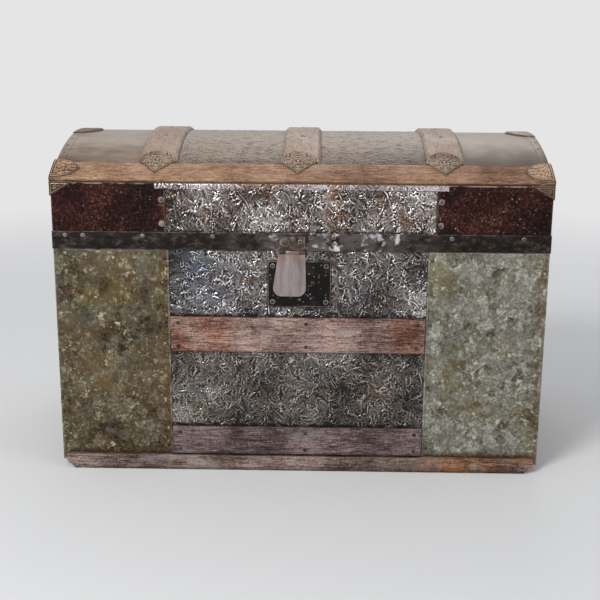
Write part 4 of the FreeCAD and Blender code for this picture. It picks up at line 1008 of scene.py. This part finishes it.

# ------------------------------------------------------------------ dome sheets
# Four sheets close the dome. The outer two are plain painted tin, brown under a film of dust and
# a painted sheen that grow paler toward the crest, with painted shade low down. The inner two,
# between the straps, are pressed with leaves, worn low.


def dome_finish(name, embossed):
    """Brown paint on tin, over the relief where the sheet is pressed, with dust and a painted sheen
    toward the crest and painted shade low down.
    """
    material, tree, place = bare_material(name)
    ragged = shaken(tree, place, 24.0, 0.03)
    drawn = stretched(tree, ragged, (1.0, 4.0, 4.0))
    streak = noisy(tree, drawn, 7.0, 7.0, 0.6)
    lines = stretched(tree, place, (1.0, 7.0, 7.0))
    fine = noisy(tree, lines, 34.0, 7.0, 0.7)
    tone = reckon(tree, "MULTIPLY_ADD", fine, 0.7, streak)
    colour = ramp(tree, reckon(tree, "SUBTRACT", tone, 0.35), [
        (0.33, (95, 78, 64)), (0.5, (122, 103, 86)), (0.67, (143, 125, 108))
    ])
    if embossed:
        relief = put(tree, "Attribute", attribute_name="relief").outputs["Fac"]
        raised = spanned(tree, relief, 0.46, 0.68)
        colour = coated(tree, colour, raised, 0.6, (166, 148, 127))
        hollow = spanned(tree, relief, 0.43, 0.2)
        colour = coated(tree, colour, hollow, 0.95, (50, 39, 30))
    dirt = spread_mask(tree, ragged, 13.0, 0.55, 0.75, 6.0)
    colour = coated(tree, colour, dirt, 0.4, (84, 72, 62))
    bare = fleck_mask(tree, shaken(tree, place, 120.0, 0.01), 150.0, 0.1, 0.3)["Mask"]
    bare = weigh(tree, bare, spread_mask(tree, place, 10.0, 0.45, 0.62))
    colour = coated(tree, colour, bare, 0.6, (62, 52, 46))
    # Dirt and painted shade in the hollows and beside the straps and slats.
    colour = coated(tree, colour, dirt_and_shade_mask(tree, place, 0.01), 0.7, (44, 34, 28))
    apart = axes(tree, ragged)
    # Darker towards the right end of the dome.
    darkening = spanned(tree, apart["X"], 0.02, 0.4)
    colour = coated(tree, colour, darkening, 0.74, (80, 64, 51))
    # Dust and painted sheen: paler toward the crest and toward the ends, in broken streaks.
    dust_and_painted_sheen = spanned(tree, apart["Z"], 0.518, 0.552, smooth=True)
    ends = reckon(tree, "ABSOLUTE", apart["X"])
    ends = spanned(tree, ends, 0.1, 0.3, 0.25)
    uneven = spread_mask(tree, drawn, 7.0, 0.3, 0.6, 7.0)
    uneven = spanned(tree, uneven, 0.0, 1.0, 0.7)
    film = spanned(tree, fine, 0.36, 0.52, 0.6)
    dust_and_painted_sheen = weigh(tree, weigh(tree, dust_and_painted_sheen, ends), weigh(tree, uneven, film))
    colour = coated(tree, colour, dust_and_painted_sheen, 0.8, (160, 148, 136))
    # Painted shade: darker low on the dome beside the slats, most of all towards the right end.
    shade = spanned(tree, apart["Z"], 0.546, 0.514)
    east = spanned(tree, apart["X"], -0.1, 0.3, 0.3)
    colour = coated(tree, colour, weigh(tree, shade, east), 0.85, (68, 54, 43))
    dents = noisy(tree, place, 8.0, 2.0)
    normal = bump(tree, streak, 0.2, 0.0006, bump(tree, dents, 0.35, 0.006))
    roughness = spanned(tree, streak, 0.3, 0.7, 0.34, 0.48)
    principled(tree, colour, roughness, normal, specular=0.34)
    return material


dome_paint = dome_finish("dome_paint", False)
dome_leaf_paint = dome_finish("dome_leaf_paint", True)

fold_line = 0.491
for side in ("left", "right"):
    sheet = solid_copy("dome_sheet_" + side, "dome_end_sheet_" + side, dome_paint)
    sheet.data.materials.append(oxblood)
    for face in sheet.data.polygons:
        if face.center.z < fold_line and abs(face.normal.z) < 0.5:
            face.material_index = 1
    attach(sheet, "lid")
    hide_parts("dome_sheet_" + side)

strap_half, slat_back_edge, strap_middle = 0.032, 0.1855, 0.238
panel_edge, under_strap = 0.188, 0.002
dome_reach = dome_radius * math.asin(panel_edge / dome_radius)


def dome_point(x, along, above):
    """Where a place on the dome is: along it from the crest, and above the sheet."""
    angle, radius = along / dome_radius, dome_radius + above
    return np.stack([x, radius * np.sin(angle), dome_axis + radius * np.cos(angle)], axis=1)


def dome_sheet(name, left, right, seed):
    """Pressed tin over the dome between two straps."""
    pitch = 0.00115
    relief = pressed_leaves(right - left, 2 * dome_reach, pitch, seed, (0.014, 0.032), 2.2, 0.7)
    rise = rising(relief, pitch, 0.002)
    rows, columns = relief.shape

    def shape(column, row, heights):
        x = left + (right - left) * column / (columns - 1)
        along = -dome_reach + 2 * dome_reach * row / (rows - 1)
        return dome_point(x, along, 0.0014 * (heights - 0.15) * rise[row, column])

    sheet = relief_sheet(name, relief, shape, dome_leaf_paint, (0, 0, -0.0006))
    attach(sheet, "lid")
    return sheet


left_panel = dome_sheet(
    "dome_tin_left", -strap_middle + strap_half - under_strap, -strap_half + under_strap, 21
)
right_panel = dome_sheet(
    "dome_tin_right", strap_half - under_strap, strap_middle - strap_half + under_strap, 22
)
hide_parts("dome_embossed_sheets")
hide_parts("dome_embossed_sheets")


def arris_roll(name, side, seed):
    """The pressed sheets' edge, rolled over the arris and down the lid's wall, rubbed bright and
    painted lighter for the highlight where it curves up to the light.
    """
    pitch, left, right = 0.0009, -strap_middle, strap_middle
    roll, drop, back = 0.0035, 0.0095, 0.006
    run = back + math.pi / 2 * roll + (drop - roll)
    relief = pressed_leaves(right - left, run, pitch, seed, (0.008, 0.018), 2.0, math.pi, 0.004)
    rise = rising(relief, pitch, 0.0012)
    rows, columns = relief.shape
    face, top = casing_face + 0.0004, fold_foot + drop

    def shape(column, row, heights):
        x = left + (right - left) * column / (columns - 1)
        if side > 0:
            x = -x
        down = run * (1 - row / (rows - 1))
        lift = 0.0009 * heights * rise[row, column]
        turn = np.clip((down - back) / roll, 0, math.pi / 2)
        flat = np.minimum(down, back)
        fall = np.maximum(down - back - math.pi / 2 * roll, 0)
        y = face - roll - back + flat + (roll + lift) * np.sin(turn)
        z = top - roll - fall + (roll + lift) * np.cos(turn)
        return np.stack([x, side * y, z], axis=1)

    sheet = relief_sheet(name, relief, shape, rubbed_tin_painted_highlight, (0, -side * 0.0005, 0))
    on_all(outward)
    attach(sheet, "lid")


arris_roll("arris_roll_front", -1, 23)
arris_roll("arris_roll_back", 1, 24)

# ------------------------------------------------------------------ slats and straps on the dome
# A long slat lies along each arris, and three bent straps cross the dome between them. The wood
# is the trunk's palest, partly its own tone and partly a painted highlight for the light from
# above, and a dark line of dirt and painted shade lies along each joint.
# Paler copies of the slat wood for the top of the lid: partly the wood's own tone, partly a painted
# highlight for the light from above.
crown_wood_painted_lit = slat_material(
    "dome_slat_wood_painted_lit", long_grain, (113, 81, 57), (145, 110, 83), (170, 138, 111), (156, 134, 113),
    0.1, 0.5,
    (((0.09, 0.08, 0.8), (0.34, 0.14, 1.0)), ((80, 48, 33), (120, 82, 60), (150, 114, 90))),
)
strap_wood_painted_lit = slat_material(
    "strap_wood_painted_lit", deep_grain, (134, 111, 93), (149, 127, 110), (162, 142, 126), (156, 140, 128),
    0.1, 0.45,
)


def bent_over(board, middle, swap):
    """Lays a flat board over the dome, its own x (or y, when swap is set) along the trunk."""
    x, along, above = points(board.data).T
    if swap:
        x, along = -along, x
    move_points(board.data, dome_point(x + middle[0], along + middle[1], above))


slat_front_edge, crown_slat_half = 0.227, 0.4073
slat_low = math.asin(slat_front_edge / dome_radius) * dome_radius
slat_high = math.asin(slat_back_edge / dome_radius) * dome_radius
for tag, side in (("front", -1), ("back", 1)):
    board = sawn_board(2 * crown_slat_half, slat_low - slat_high, slat_thick, 0.003,
                       "crown_slat_" + tag)
    bent_over(board, (0, side * (slat_low + slat_high) / 2), False)
    settle(board, "crown_slat_" + tag, crown_wood_painted_lit)
    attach(board, "lid")
    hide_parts("dome_slat_" + tag)
for tag, x in (("left", -strap_middle), ("middle", 0.0), ("right", strap_middle)):
    board = sawn_board(2 * (slat_high - 0.0005), 2 * strap_half, slat_thick, 0.005, "strap_" + tag)
    bent_over(board, (x, 0), True)
    settle(board, "strap_" + tag, strap_wood_painted_lit)
    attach(board, "lid")
    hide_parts("dome_strap_" + tag)

# ------------------------------------------------------------------ iron band
# A strip of iron is nailed round the lower edge of the lid. Its black japan is worn through to
# grey in long patches, most of all round the hasp, where a grey sheen and white highlights are
# painted on its front.


def iron_material(name, dark, middle, bright, worn, rust_share, shine, rough, rub=0.9,
                  drawn=(1, 1, 1), sheen_place=None, glints=(), rub_reach=0.0014):
    """Old blacked iron: dark coat, rust in spots, bright edges, and grey where worn.

    The place (x, reach) given after drawn is where a grey painted sheen lies on the front, counted
    as worn through as well, and glints are the places (x, reach) where painted white highlights
    lie.
    (x, reach) where that face is polished white.
    """
    material, tree, place = bare_material(name)
    ragged = shaken(tree, place, 45.0, 0.012)
    along = stretched(tree, ragged, drawn)
    tone = noisy(tree, along, 95.0, 8.0, 0.76)
    colour = ramp(tree, tone, [(0.36, dark), (0.53, middle), (0.7, bright)])
    through = spread_mask(tree, along, 16.0, 1.0 - worn - 0.08, 1.0 - worn + 0.1, 7.0)
    # Round the hasp, on the front only: a grey painted sheen, also counted as worn through, and
    # painted white highlights at the glints.
    if sheen_place:
        front = weigh(tree, axes(tree, place)["Y"], 0.0, "LESS_THAN")
        sheen = weigh(
            tree, near_x(tree, ragged, *sheen_place), spread_mask(tree, ragged, 55.0, 0.36, 0.7, 8.0)
        )
        sheen = weigh(tree, sheen, front)
        through = weigh(tree, through, sheen, "MAXIMUM")
        colour = coated(tree, colour, sheen, 0.6, (120, 112, 112))
        white_highlight = weigh(tree, front, spread_mask(tree, ragged, 66.0, 0.48, 0.64, 9.0))
        spots, torn = 0.0, shaken(tree, place, 34.0, 0.06)
        for x, reach in glints:
            spots = weigh(tree, spots, near_x(tree, torn, x, reach), "MAXIMUM")
        colour = coated(tree, colour, white_highlight, spots, (222, 216, 222))
    colour = coated(tree, colour, through, 0.6, bright)
    rust = spread_mask(tree, ragged, 30.0, 0.74 - rust_share, 0.86 - rust_share, 7.0)
    colour = coated(tree, colour, rust, 0.6, (84, 52, 32))
    pits = fleck_mask(tree, ragged, 240.0, 0.16, 0.36)["Mask"]
    colour = coated(tree, colour, pits, 0.6, (24, 19, 17))
    # Dirt and painted shade in hollows and beside whatever stands on the metal.
    colour = coated(tree, colour, dirt_and_shade_mask(tree, place, 0.004), 0.6, (26, 20, 16))
    rubbed = edge_mask(tree, place, rub_reach, 120.0)
    colour = coated(tree, colour, rubbed, rub, tuple(min(255, c + 40) for c in bright))
    metal = spanned(tree, through, 0.0, 1.0, shine * 0.4, shine)
    roughness = spanned(tree, tone, 0.3, 0.75, rough + 0.12, rough - 0.1)
    normal = bump(tree, tone, 0.4, 0.0006)
    principled(tree, colour, roughness, normal, metal, 0.2)
    return material


# The pair (0.045, 0.2) places the band's painted sheen round the hasp, and the list after it its
# painted white highlights.
band_iron = iron_material(
    "band_japan", (9, 5, 3), (33, 25, 20), (92, 82, 78), 0.34, 0.14, 0.6, 0.46, 0.8,
    (0.7, 0.7, 1.3), (0.045, 0.2),
    ((-0.049, 0.015), (0.026, 0.025), (0.06, 0.014), (0.113, 0.012), (0.158, 0.011)), 0.0024,
)
band = solid_copy("lid_bands", "edge_band", band_iron, 0.0003)
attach(band, "lid")
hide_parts("lid_bands")

# ------------------------------------------------------------------ bindings and stamped clamps
# Tin angle covers the dome's two end edges. Stamped leaf clamps hold its corners and its crest,
# and shield-shaped ones hold the strap ends down, all browned with age. Their faces are stamped.
clamp_metal = iron_material(
    "clamp_brown", (74, 56, 42), (118, 96, 76), (152, 132, 110), 0.4, 0.2, 0.3, 0.45, 0.6
)
stamped = tin_material(
    "stamped_clamp",
    ((50, 37, 27), (112, 91, 72), (142, 119, 99), (160, 139, 118), (186, 166, 144)),
    (140, 128, 114), (158, 122, 90), 0.2, 0.0,
)
stamped_leaf = tin_material(
    "stamped_leaf", ((24, 13, 8), (92, 62, 40), (138, 104, 78), (164, 132, 104), (190, 162, 136)),
    (144, 122, 104), (164, 118, 80), 0.2, 0.0)
stamped_flap = tin_material(
    "stamped_flap", ((22, 14, 10), (62, 43, 32), (92, 69, 52), (118, 94, 72), (146, 122, 96)),
    (132, 116, 100), (150, 104, 70), 0.35, 0.04)
bindings = solid_copy("dome_edge_bindings", "edge_bindings", dome_paint, 0.0002)
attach(bindings, "lid")
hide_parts("dome_edge_bindings")
dressed(clamp_metal, "corner_clamps", "crest_clamps", "strap_clamps")
plate_radius, crest_radius, leaf_pitch = 0.44503, 0.43883, 0.0006
clamp_face, clamp_end = 0.2303, 0.4083


def bowed(first, through, last, count=16):
    """Points of the circle's arc from first through a middle point to last."""
    (ax, ay), (bx, by), (cx, cy) = first, through, last
    twice = 2 * (ax * (by - cy) + bx * (cy - ay) + cx * (ay - by))
    a, b, c = ax**2 + ay**2, bx**2 + by**2, cx**2 + cy**2
    ux = (a * (by - cy) + b * (cy - ay) + c * (ay - by)) / twice
    uy = (a * (cx - bx) + b * (ax - cx) + c * (bx - ax)) / twice
    turn = [math.atan2(y - uy, x - ux) for x, y in (first, through, last)]
    sweep = (turn[2] - turn[0]) % (2 * math.pi)
    if (turn[1] - turn[0]) % (2 * math.pi) > sweep:
        sweep -= 2 * math.pi
    radius = math.hypot(ax - ux, ay - uy)
    turns = turn[0] + np.linspace(0, 1, count) * sweep
    return list(zip(ux + radius * np.cos(turns), uy + radius * np.sin(turns)))


def stamped_sheet(name, lower, upper, start, end, pattern, lay, finish, skirt):
    """A stamped face between two edge curves (place, height), each read along start to end."""
    low_x, low_y = zip(*sorted(lower))
    high_x, high_y = zip(*sorted(upper))
    inset = 0.0005
    tall = max(np.max(high_y) - np.min(low_y), 0.01)
    rows, columns = int(tall / leaf_pitch), int((end - start) / leaf_pitch)
    place = np.linspace(start + inset, end - inset, columns)
    bottom = np.interp(place, low_x, low_y) + inset
    top = np.maximum(np.interp(place, high_x, high_y) - inset, bottom + 0.0003)
    share = np.linspace(0, 1, rows)[:, None]
    height = bottom + share * (top - bottom)
    wide = np.broadcast_to(place, height.shape)
    border = np.minimum(np.minimum(share, 1 - share) * (top - bottom),
                        np.minimum(wide - place[0], place[-1] - wide))
    relief = pattern(wide, height, share + 0 * wide, top - bottom)
    relief = np.where(border < 0.0042, 0.1, relief)
    relief = np.maximum(relief, np.exp(-(((border - 0.0022) / 0.0009) ** 2)))
    relief = np.where(border < 0.0008, 0.12, relief)

    def shape(column, row, heights):
        return lay(wide[row, column], height[row, column], 0.0001 + 0.0009 * heights)

    return relief_sheet(name, relief, shape, finish, skirt)


def on_plate(x, y, above, face=plate_radius):
    """A place of the dome's clamps, seen from above, on the plate's upper face."""
    radius, turn = face + above, np.arcsin(y / face)
    return np.stack([x, radius * np.sin(turn), dome_axis + radius * np.cos(turn)], axis=1)


def foliage(wide, height, share, span, gain=1.9):
    """Small leaves, the same on both sides of the clamp's middle."""
    leaves = pressed_leaves(0.07, 0.12, leaf_pitch, 31, (0.007, 0.015), 1.6, math.pi, 0.003)
    row = np.clip((np.abs(height) / leaf_pitch).astype(int), 0, leaves.shape[0] - 1)
    column = np.clip(((wide - wide.min()) / leaf_pitch).astype(int), 0, leaves.shape[1] - 1)
    return np.clip(0.5 + gain * (leaves[row, column] - 0.45), 0, 1)


def flap_foliage(wide, height, share, span):
    """The same leaves on an upright flap, counted from its foot."""
    return foliage(wide, height - height.min(), share, span, 1.2)


def veined(wide, height, share, span):
    """Long veins that run together at the leaf's tip."""
    grooves = np.zeros_like(wide)
    for vein, wave in ((0.5, 0.03), (0.26, 0.07), (0.74, -0.07)):
        sway = wave * np.sin((wide - wide.min()) * 210)
        grooves += np.exp(-((((share - vein + sway) * span) / 0.001) ** 2))
    leaves = foliage(wide, (share - 0.5) * span, share, span, 1.3)
    return np.clip(0.3 + 0.75 * leaves - 0.42 * grooves, 0, 1)


def mirrored_copy(piece, name, flip_x, flip_y):
    """The same piece on the other side of the trunk, with a mesh of its own."""
    copy = piece.copy()
    copy.data = piece.data.copy()
    bpy.context.scene.collection.objects.link(copy)
    copy.name = copy.data.name = name
    mirror = (-1 if flip_x else 1, -1 if flip_y else 1, 1)
    move_points(copy.data, points(copy.data) * mirror)
    if flip_x != flip_y:
        alone(copy)
        on_all((bpy.ops.mesh.flip_normals, {}))
    return copy


def both_ways(piece, name, quarters=True):
    """The piece and its mirror images, riding on the lid."""
    made = [piece, mirrored_copy(piece, name + "_left", True, False)]
    if quarters:
        made += [mirrored_copy(piece, name + "_back", False, True),
                 mirrored_copy(piece, name + "_back_left", True, True)]
    for one in made:
        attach(one, "lid")


def shield(name, middle):
    """Stamped face of one strap clamp, modelled along the depth and turned across the trunk."""
    foot, shoulder, tip = (-0.218, 0.0), (-0.187, 0.0305), (-0.1515, 0.0)
    right = [foot, shoulder] + bowed(shoulder, (-0.1655, 0.022), tip)
    left = [(y, -x) for y, x in right]

    def lay(y, x, above):
        return on_plate(x + middle, y, above)

    return stamped_sheet(name, left, right, foot[0], tip[0], foliage, lay, stamped, (0, 0, -0.0004))


for tag, middle in (("left", -strap_middle), ("middle", -0.006), ("right", 0.234)):
    front = shield("strap_shield_" + tag, middle)
    back = mirrored_copy(front, "strap_shield_back_" + tag, False, True)
    for one in (front, back):
        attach(one, "lid")

leaf_tip, flap_tip, crest_tip, stamp_end, leaf_foot = 0.3615, 0.3705, 0.3635, 0.4081, -0.2296
leaf_middle = (-casing_face - slat_back_edge) / 2
corner_upper = bowed((leaf_tip, leaf_middle), (0.3795, (leaf_middle - slat_back_edge) / 2 + 0.007),
                     (clamp_end, -slat_back_edge))
corner_lower = bowed(
    (leaf_tip, leaf_middle), (0.3795, (leaf_middle - clamp_face) / 2 - 0.007), (0.3975, leaf_foot)
)
corner_leaf = stamped_sheet(
    "corner_leaf", corner_lower + [(clamp_end, leaf_foot)], corner_upper, leaf_tip, stamp_end,
    veined, on_plate, stamped_leaf, (0, 0, -0.0004),
)
both_ways(corner_leaf, "corner_leaf")


def on_wall(x, z, above):
    """A place of the corner clamp's flap, in front of the lid."""
    return np.stack([x, -clamp_face - above, z], axis=1)


corner_flap = stamped_sheet(
    "corner_flap", [(flap_tip, 0.491), (0.3955, 0.4765), (clamp_end, 0.469)],
    [(flap_tip, 0.4912), (clamp_end, 0.4912)], flap_tip, stamp_end, flap_foliage, on_wall,
    stamped_flap, (0, 0.0004, 0),
)
both_ways(corner_flap, "corner_flap")


def on_crest(x, y, above):
    """A place of a crest clamp's leaf, on its plate's upper face."""
    return on_plate(x, y, above, crest_radius)


def on_end(y, z, above):
    """A place on the end of the lid, in front of the clamps' folded sides."""
    return np.stack([clamp_end + above + 0 * y, y, z], axis=1)


crest_upper = bowed((crest_tip, 0.0), (0.3735, 0.026), (clamp_end, 0.048))
crest_leaf = stamped_sheet(
    "crest_leaf", [(x, -y) for x, y in crest_upper], crest_upper, crest_tip, stamp_end, veined,
    on_crest, stamped_flap, (0, 0, -0.0004),
)
both_ways(crest_leaf, "crest_leaf", False)
corner_side = stamped_sheet(
    "corner_side", [(-0.2298, 0.4962), (-0.226, 0.4903), (-0.21557, 0.47312), (-0.17616, 0.49426)],
    [(-0.2298, 0.4991), (-0.1887, 0.5209), (-0.17616, 0.4945)], -0.2298, -0.1765, flap_foliage,
    on_end, stamped_flap, (-0.0004, 0, 0),
)
both_ways(corner_side, "corner_side")
crest_side = stamped_sheet(
    "crest_side", [(-0.029, 0.5325), (0.0, 0.5335), (0.029, 0.5325)],
    [(-0.029, 0.5552), (0.0, 0.5562), (0.029, 0.5552)], -0.029, 0.029, flap_foliage, on_end,
    stamped_flap, (-0.0004, 0, 0),
)
both_ways(crest_side, "crest_side", False)

# ------------------------------------------------------------------ hinges
# Three strap hinges of rolled iron join the lid to the back of the box, each on a peened pin.
# They are blacked, with rust in spots and the metal showing at the edges.
hinge_metal = iron_material(
    "hinge_black", (34, 30, 28), (62, 56, 52), (124, 118, 112), 0.42, 0.2, 0.7, 0.45
)
for node, body in (("hinge_box_leaves", "trunk"), ("hinge_lid_leaves", "lid")):
    leaves = solid_copy(node, node[6:] + "_rolled", hinge_metal, 0.0005)
    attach(leaves, body)
    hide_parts(node)
dressed(hinge_metal, "hinge_pins", "handle_bail_left", "handle_bail_right")

# ------------------------------------------------------------------ end handles
# Each end handle is an iron bail in two brackets, with a grip of leather rolled round its cross
# bar. The leather's long edges are pressed together and stitched, and it is creased where it bends.
brackets = solid_copy("handle_brackets", "bail_brackets", hinge_metal, 0.0005)
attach(brackets, "trunk")
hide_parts("handle_brackets")
leather, tree, place = bare_material("grip_leather")
hide = put(tree, "TexVoronoi", {"Vector": shaken(tree, place, 60.0, 0.01), "Scale": 420.0})
creases = noisy(tree, place, 90.0, 6.0)
colour = ramp(tree, creases, [(0.3, (38, 22, 14)), (0.52, (78, 48, 30)), (0.75, (122, 82, 54))])
rubbed = spread_mask(tree, place, 30.0, 0.5, 0.7)
colour = coated(tree, colour, rubbed, 0.5, (140, 102, 72))
normal = bump(tree, hide.outputs["Distance"], 0.4, 0.0004, bump(tree, creases, 0.5, 0.0012))
principled(tree, colour, 0.5, normal)


def rolled_grip(name, side, body, stands_for):
    """One grip: a leather tube over the bar, swelling at its middle, with a seam and creases."""
    long, bar, belly, waist = 0.096, 0.004, 0.0092, 0.0072
    middle_x, middle_z = side * 0.41849, 0.293
    columns, rows = 193, 73
    grip = grid(rows, columns)
    flat = points(grip.data)
    part, row = 2 * flat[:, 0], np.rint((flat[:, 1] + 0.5) * (rows - 1))
    turn = 2 * np.pi * (row % (rows - 1)) / (rows - 1)
    reach = waist + (belly - waist) * np.cos(np.pi / 2 * part)
    seam = np.exp(-(((turn - np.pi) / 0.2) ** 2))
    stitch = np.exp(-((np.abs(turn - np.pi) - 0.42) / 0.07) ** 2) * (np.cos(part * np.pi * 14) > 0)
    crease = np.sin(part * 61 + 2.6 * np.sin(turn + part * 7)) * (0.4 + 0.6 * np.abs(part))
    reach = reach + 0.0011 * seam + 0.0004 * stitch + 0.00016 * crease
    lap = np.clip((1 - np.abs(part)) / 0.03, 0, 1)
    reach = np.where(np.abs(part) > 0.9999, 0.0, bar + (reach - bar) * np.sqrt(1 - (1 - lap) ** 2))
    x, z = middle_x - side * reach * np.cos(turn), middle_z + reach * np.sin(turn)
    move_points(grip.data, np.stack([x, part * long / 2, z], axis=1))
    on_all((bpy.ops.mesh.remove_doubles, {"threshold": 0.000001}), outward)
    settle(grip, name, leather)
    bpy.ops.object.shade_smooth()
    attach(grip, body)
    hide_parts(stands_for)


rolled_grip("rolled_grip_left", -1, "handle_left", "handle_grip_left")
rolled_grip("rolled_grip_right", 1, "handle_right", "handle_grip_right")

# ------------------------------------------------------------------ lock
# The lock plate is black japanned steel let into the tin. Behind it is a case with a sliding
# bolt, worked by a key.
japan, tree, place = bare_material("lock_japan")
smear = noisy(tree, place, 42.0, 7.0)
colour = ramp(tree, smear, [(0.36, (2, 1, 1)), (0.52, (9, 7, 6)), (0.72, (44, 30, 24))])
chips = fleck_mask(tree, shaken(tree, place, 150.0, 0.006), 240.0, 0.3, 0.36)
colour = between(tree, weigh(tree, chips["Mask"], chips["Shade"]), colour, srgb(176, 164, 150))
rubbed = edge_mask(tree, place, 0.0026, 40.0)
colour = coated(tree, colour, rubbed, 0.95, (172, 162, 150))
principled(
    tree, colour, spanned(tree, smear, 0.3, 0.7, 0.25, 0.5), bump(tree, smear, 0.3, 0.0006),
    specular=0.2,
)
lock_front = solid_copy("lock_plate", "lock_front", japan, 0.0004)
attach(lock_front, "trunk")
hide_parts("lock_plate")
edge_left, edge_right, edge_low, edge_high = -0.0552, 0.0512, 0.2868, 0.3657
# A raised tin frame round the lock, in the lighter tin with its painted highlight.
surround = fresh(
    bpy.ops.mesh.primitive_plane_add, size=1.0, rotation=(math.pi / 2, 0, 0),
    location=((edge_left + edge_right) / 2, -casing_face + 0.0006, (edge_low + edge_high) / 2),
)
surround.scale = (edge_right - edge_left, edge_high - edge_low, 1.0)
bpy.ops.object.transform_apply(location=True, rotation=True, scale=True)
bpy.ops.object.mode_set(mode="EDIT")
bpy.ops.mesh.select_all(action="SELECT")
bpy.ops.mesh.inset(thickness=0.0013)
bpy.ops.mesh.delete(type="FACE")
bpy.ops.mesh.select_all(action="SELECT")
bpy.ops.mesh.extrude_region_move(TRANSFORM_OT_translate={"value": (0, -0.0019, 0)})
bpy.ops.object.mode_set(mode="OBJECT")
on_all(outward)
settle(surround, "lock_surround", rubbed_tin_painted_highlight)
rounded_off(surround, 0.0004, 2)
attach(surround, "trunk")
lock_metal = iron_material(
    "lock_iron_grey", (48, 44, 42), (84, 80, 76), (150, 146, 140), 0.45, 0.16, 0.8, 0.4
)
dressed(lock_metal, "lock_case", "lock_bolt")

# ------------------------------------------------------------------ hasp
# The hasp hangs from a riveted plate on the band. Its tongue is a thick pressed plate with a
# round foot, the tinning rubbed thin and streaked.
tongue_metal, tree, place = bare_material("tongue_steel")
ragged = shaken(tree, place, 50.0, 0.006)
drawn = stretched(tree, ragged, (9.0, 9.0, 1.0))
streak = noisy(tree, drawn, 12.0, 7.0, 0.6)
colour = ramp(tree, streak, [
    (0.3, (122, 108, 106)), (0.5, (146, 134, 133)), (0.75, (172, 162, 160))
])
top_rust = spanned(tree, axes(tree, ragged)["Z"], 0.352, 0.376)
top_rust = weigh(tree, top_rust, spread_mask(tree, ragged, 60.0, 0.35, 0.6))
colour = coated(tree, colour, top_rust, 0.7, (118, 84, 62))
spots = fleck_mask(tree, ragged, 190.0, 0.12, 0.3)["Mask"]
colour = coated(tree, colour, spots, 0.5, (92, 76, 70))
rubbed = edge_mask(tree, place, 0.0014, 90.0)
colour = coated(tree, colour, rubbed, 0.7, (200, 192, 188))
principled(
    tree, colour, spanned(tree, streak, 0.3, 0.7, 0.5, 0.34), bump(tree, streak, 0.25, 0.0004),
    0.45,
)
tongue = solid_copy("hasp_tongue", "hasp_plate_tongue", tongue_metal, 0.0007, 3)
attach(tongue, "hasp")
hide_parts("hasp_tongue")
hasp_iron = iron_material(
    "hasp_plate_iron", (36, 26, 20), (78, 66, 58), (150, 140, 134), 0.42, 0.2, 0.75, 0.38
)
dressed(hasp_iron, "hasp_hinge_plate", "hasp_pin")

# ------------------------------------------------------------------ nails
# Domed iron tacks hold the tin, the slats and the band. They have rusted brown, and the highest
# points are rubbed bright. The lid's nails take a lighter copy of the finish, a painted highlight.
tack_dull = iron_material(
    "tack_dull", (22, 15, 12), (58, 48, 42), (110, 100, 92), 0.34, 0.2, 0.5, 0.5, 0.4
)
# A lighter copy of the tack finish for the lid's nails: a painted highlight for the light they
# catch.
tack_painted_highlight = iron_material(
    "tack_painted_highlight", (44, 36, 31), (86, 76, 70), (168, 160, 156), 0.42, 0.16, 0.6, 0.4
)
tack_brown = iron_material(
    "tack_brown", (112, 96, 82), (138, 121, 106), (160, 144, 129), 0.4, 0.1, 0.1, 0.6, 0.2
)
dressed(tack_dull, "box_nails")
dressed(tack_painted_highlight, "lid_nails")
dressed(tack_brown, "dome_nails")


def eyelet(name, x, z, face, outer, inner, tall, finish, body):
    """A pressed ring round a nail, standing out from a face of the front at y."""
    ring = fresh(bpy.ops.mesh.primitive_circle_add, vertices=28, radius=outer, fill_type="NOTHING",
                 location=(x, face + 0.0002, z), rotation=(math.pi / 2, 0, 0))
    middle = (outer + inner) / 2
    bpy.ops.object.mode_set(mode="EDIT")
    bpy.ops.mesh.select_all(action="SELECT")
    size, up = outer, 0.0
    for radius, height in (
        (0.3 * middle + 0.7 * outer, 0.8), (middle, 1.0), (0.3 * middle + 0.7 * inner, 0.8),
        (inner, 0.0),
    ):
        bpy.ops.mesh.extrude_edges_move(
            TRANSFORM_OT_translate={"value": (0, -(height - up) * tall, 0)}
        )
        bpy.ops.transform.resize(
            value=(radius / size, 1, radius / size), center_override=(x, face, z)
        )
        size, up = radius, height
    select_border()
    bpy.ops.mesh.bridge_edge_loops()
    bpy.ops.object.mode_set(mode="OBJECT")
    on_all(outward)
    settle(ring, name, finish)
    bpy.ops.object.shade_smooth_by_angle(angle=math.radians(50))
    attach(ring, body)


eyelet_tin = iron_material(
    "eyelet_tin", (48, 38, 32), (100, 88, 80), (188, 180, 176), 0.4, 0.1, 0.7, 0.36, 0.6
)
boss_iron = iron_material(
    "boss_iron", (30, 22, 17), (74, 62, 54), (150, 138, 130), 0.4, 0.2, 0.7, 0.36
)
lock_face, hasp_face = -0.23, -0.2345
for x, tag in ((-0.227, "left"), (0.227, "right")):
    for z, level in ((0.425, "lower"), (0.464, "upper")):
        eyelet(
            "seam_eyelet_%s_%s" % (tag, level), x, z, -casing_face, 0.0052, 0.0034, 0.0008,
            eyelet_tin, "lid",
        )
for x, tag in ((-0.046, "left"), (0.042, "right")):
    for z, level in ((0.296, "lower"), (0.3565, "upper")):
        eyelet(
            "lock_eyelet_%s_%s" % (tag, level), x, z, lock_face, 0.0042, 0.0029, 0.0006, eyelet_tin,
            "trunk",
        )
eyelet("hasp_boss", -0.026, 0.3966, hasp_face, 0.0078, 0.0046, 0.0012, boss_iron, "lid")

# ------------------------------------------------------------------ tray
# A thin pine tray with one partition lifts out of the box. It stands on two cleats, and its
# boards are bare, with no lining.
tray_wood = pine_material("tray_pine", long_grain, False)
tray_wood_ends = pine_material("tray_pine_ends", deep_grain, False)
dressed(tray_wood, "tray_sides", "tray_bottom")
dressed(tray_wood_ends, "tray_ends", "tray_partition")
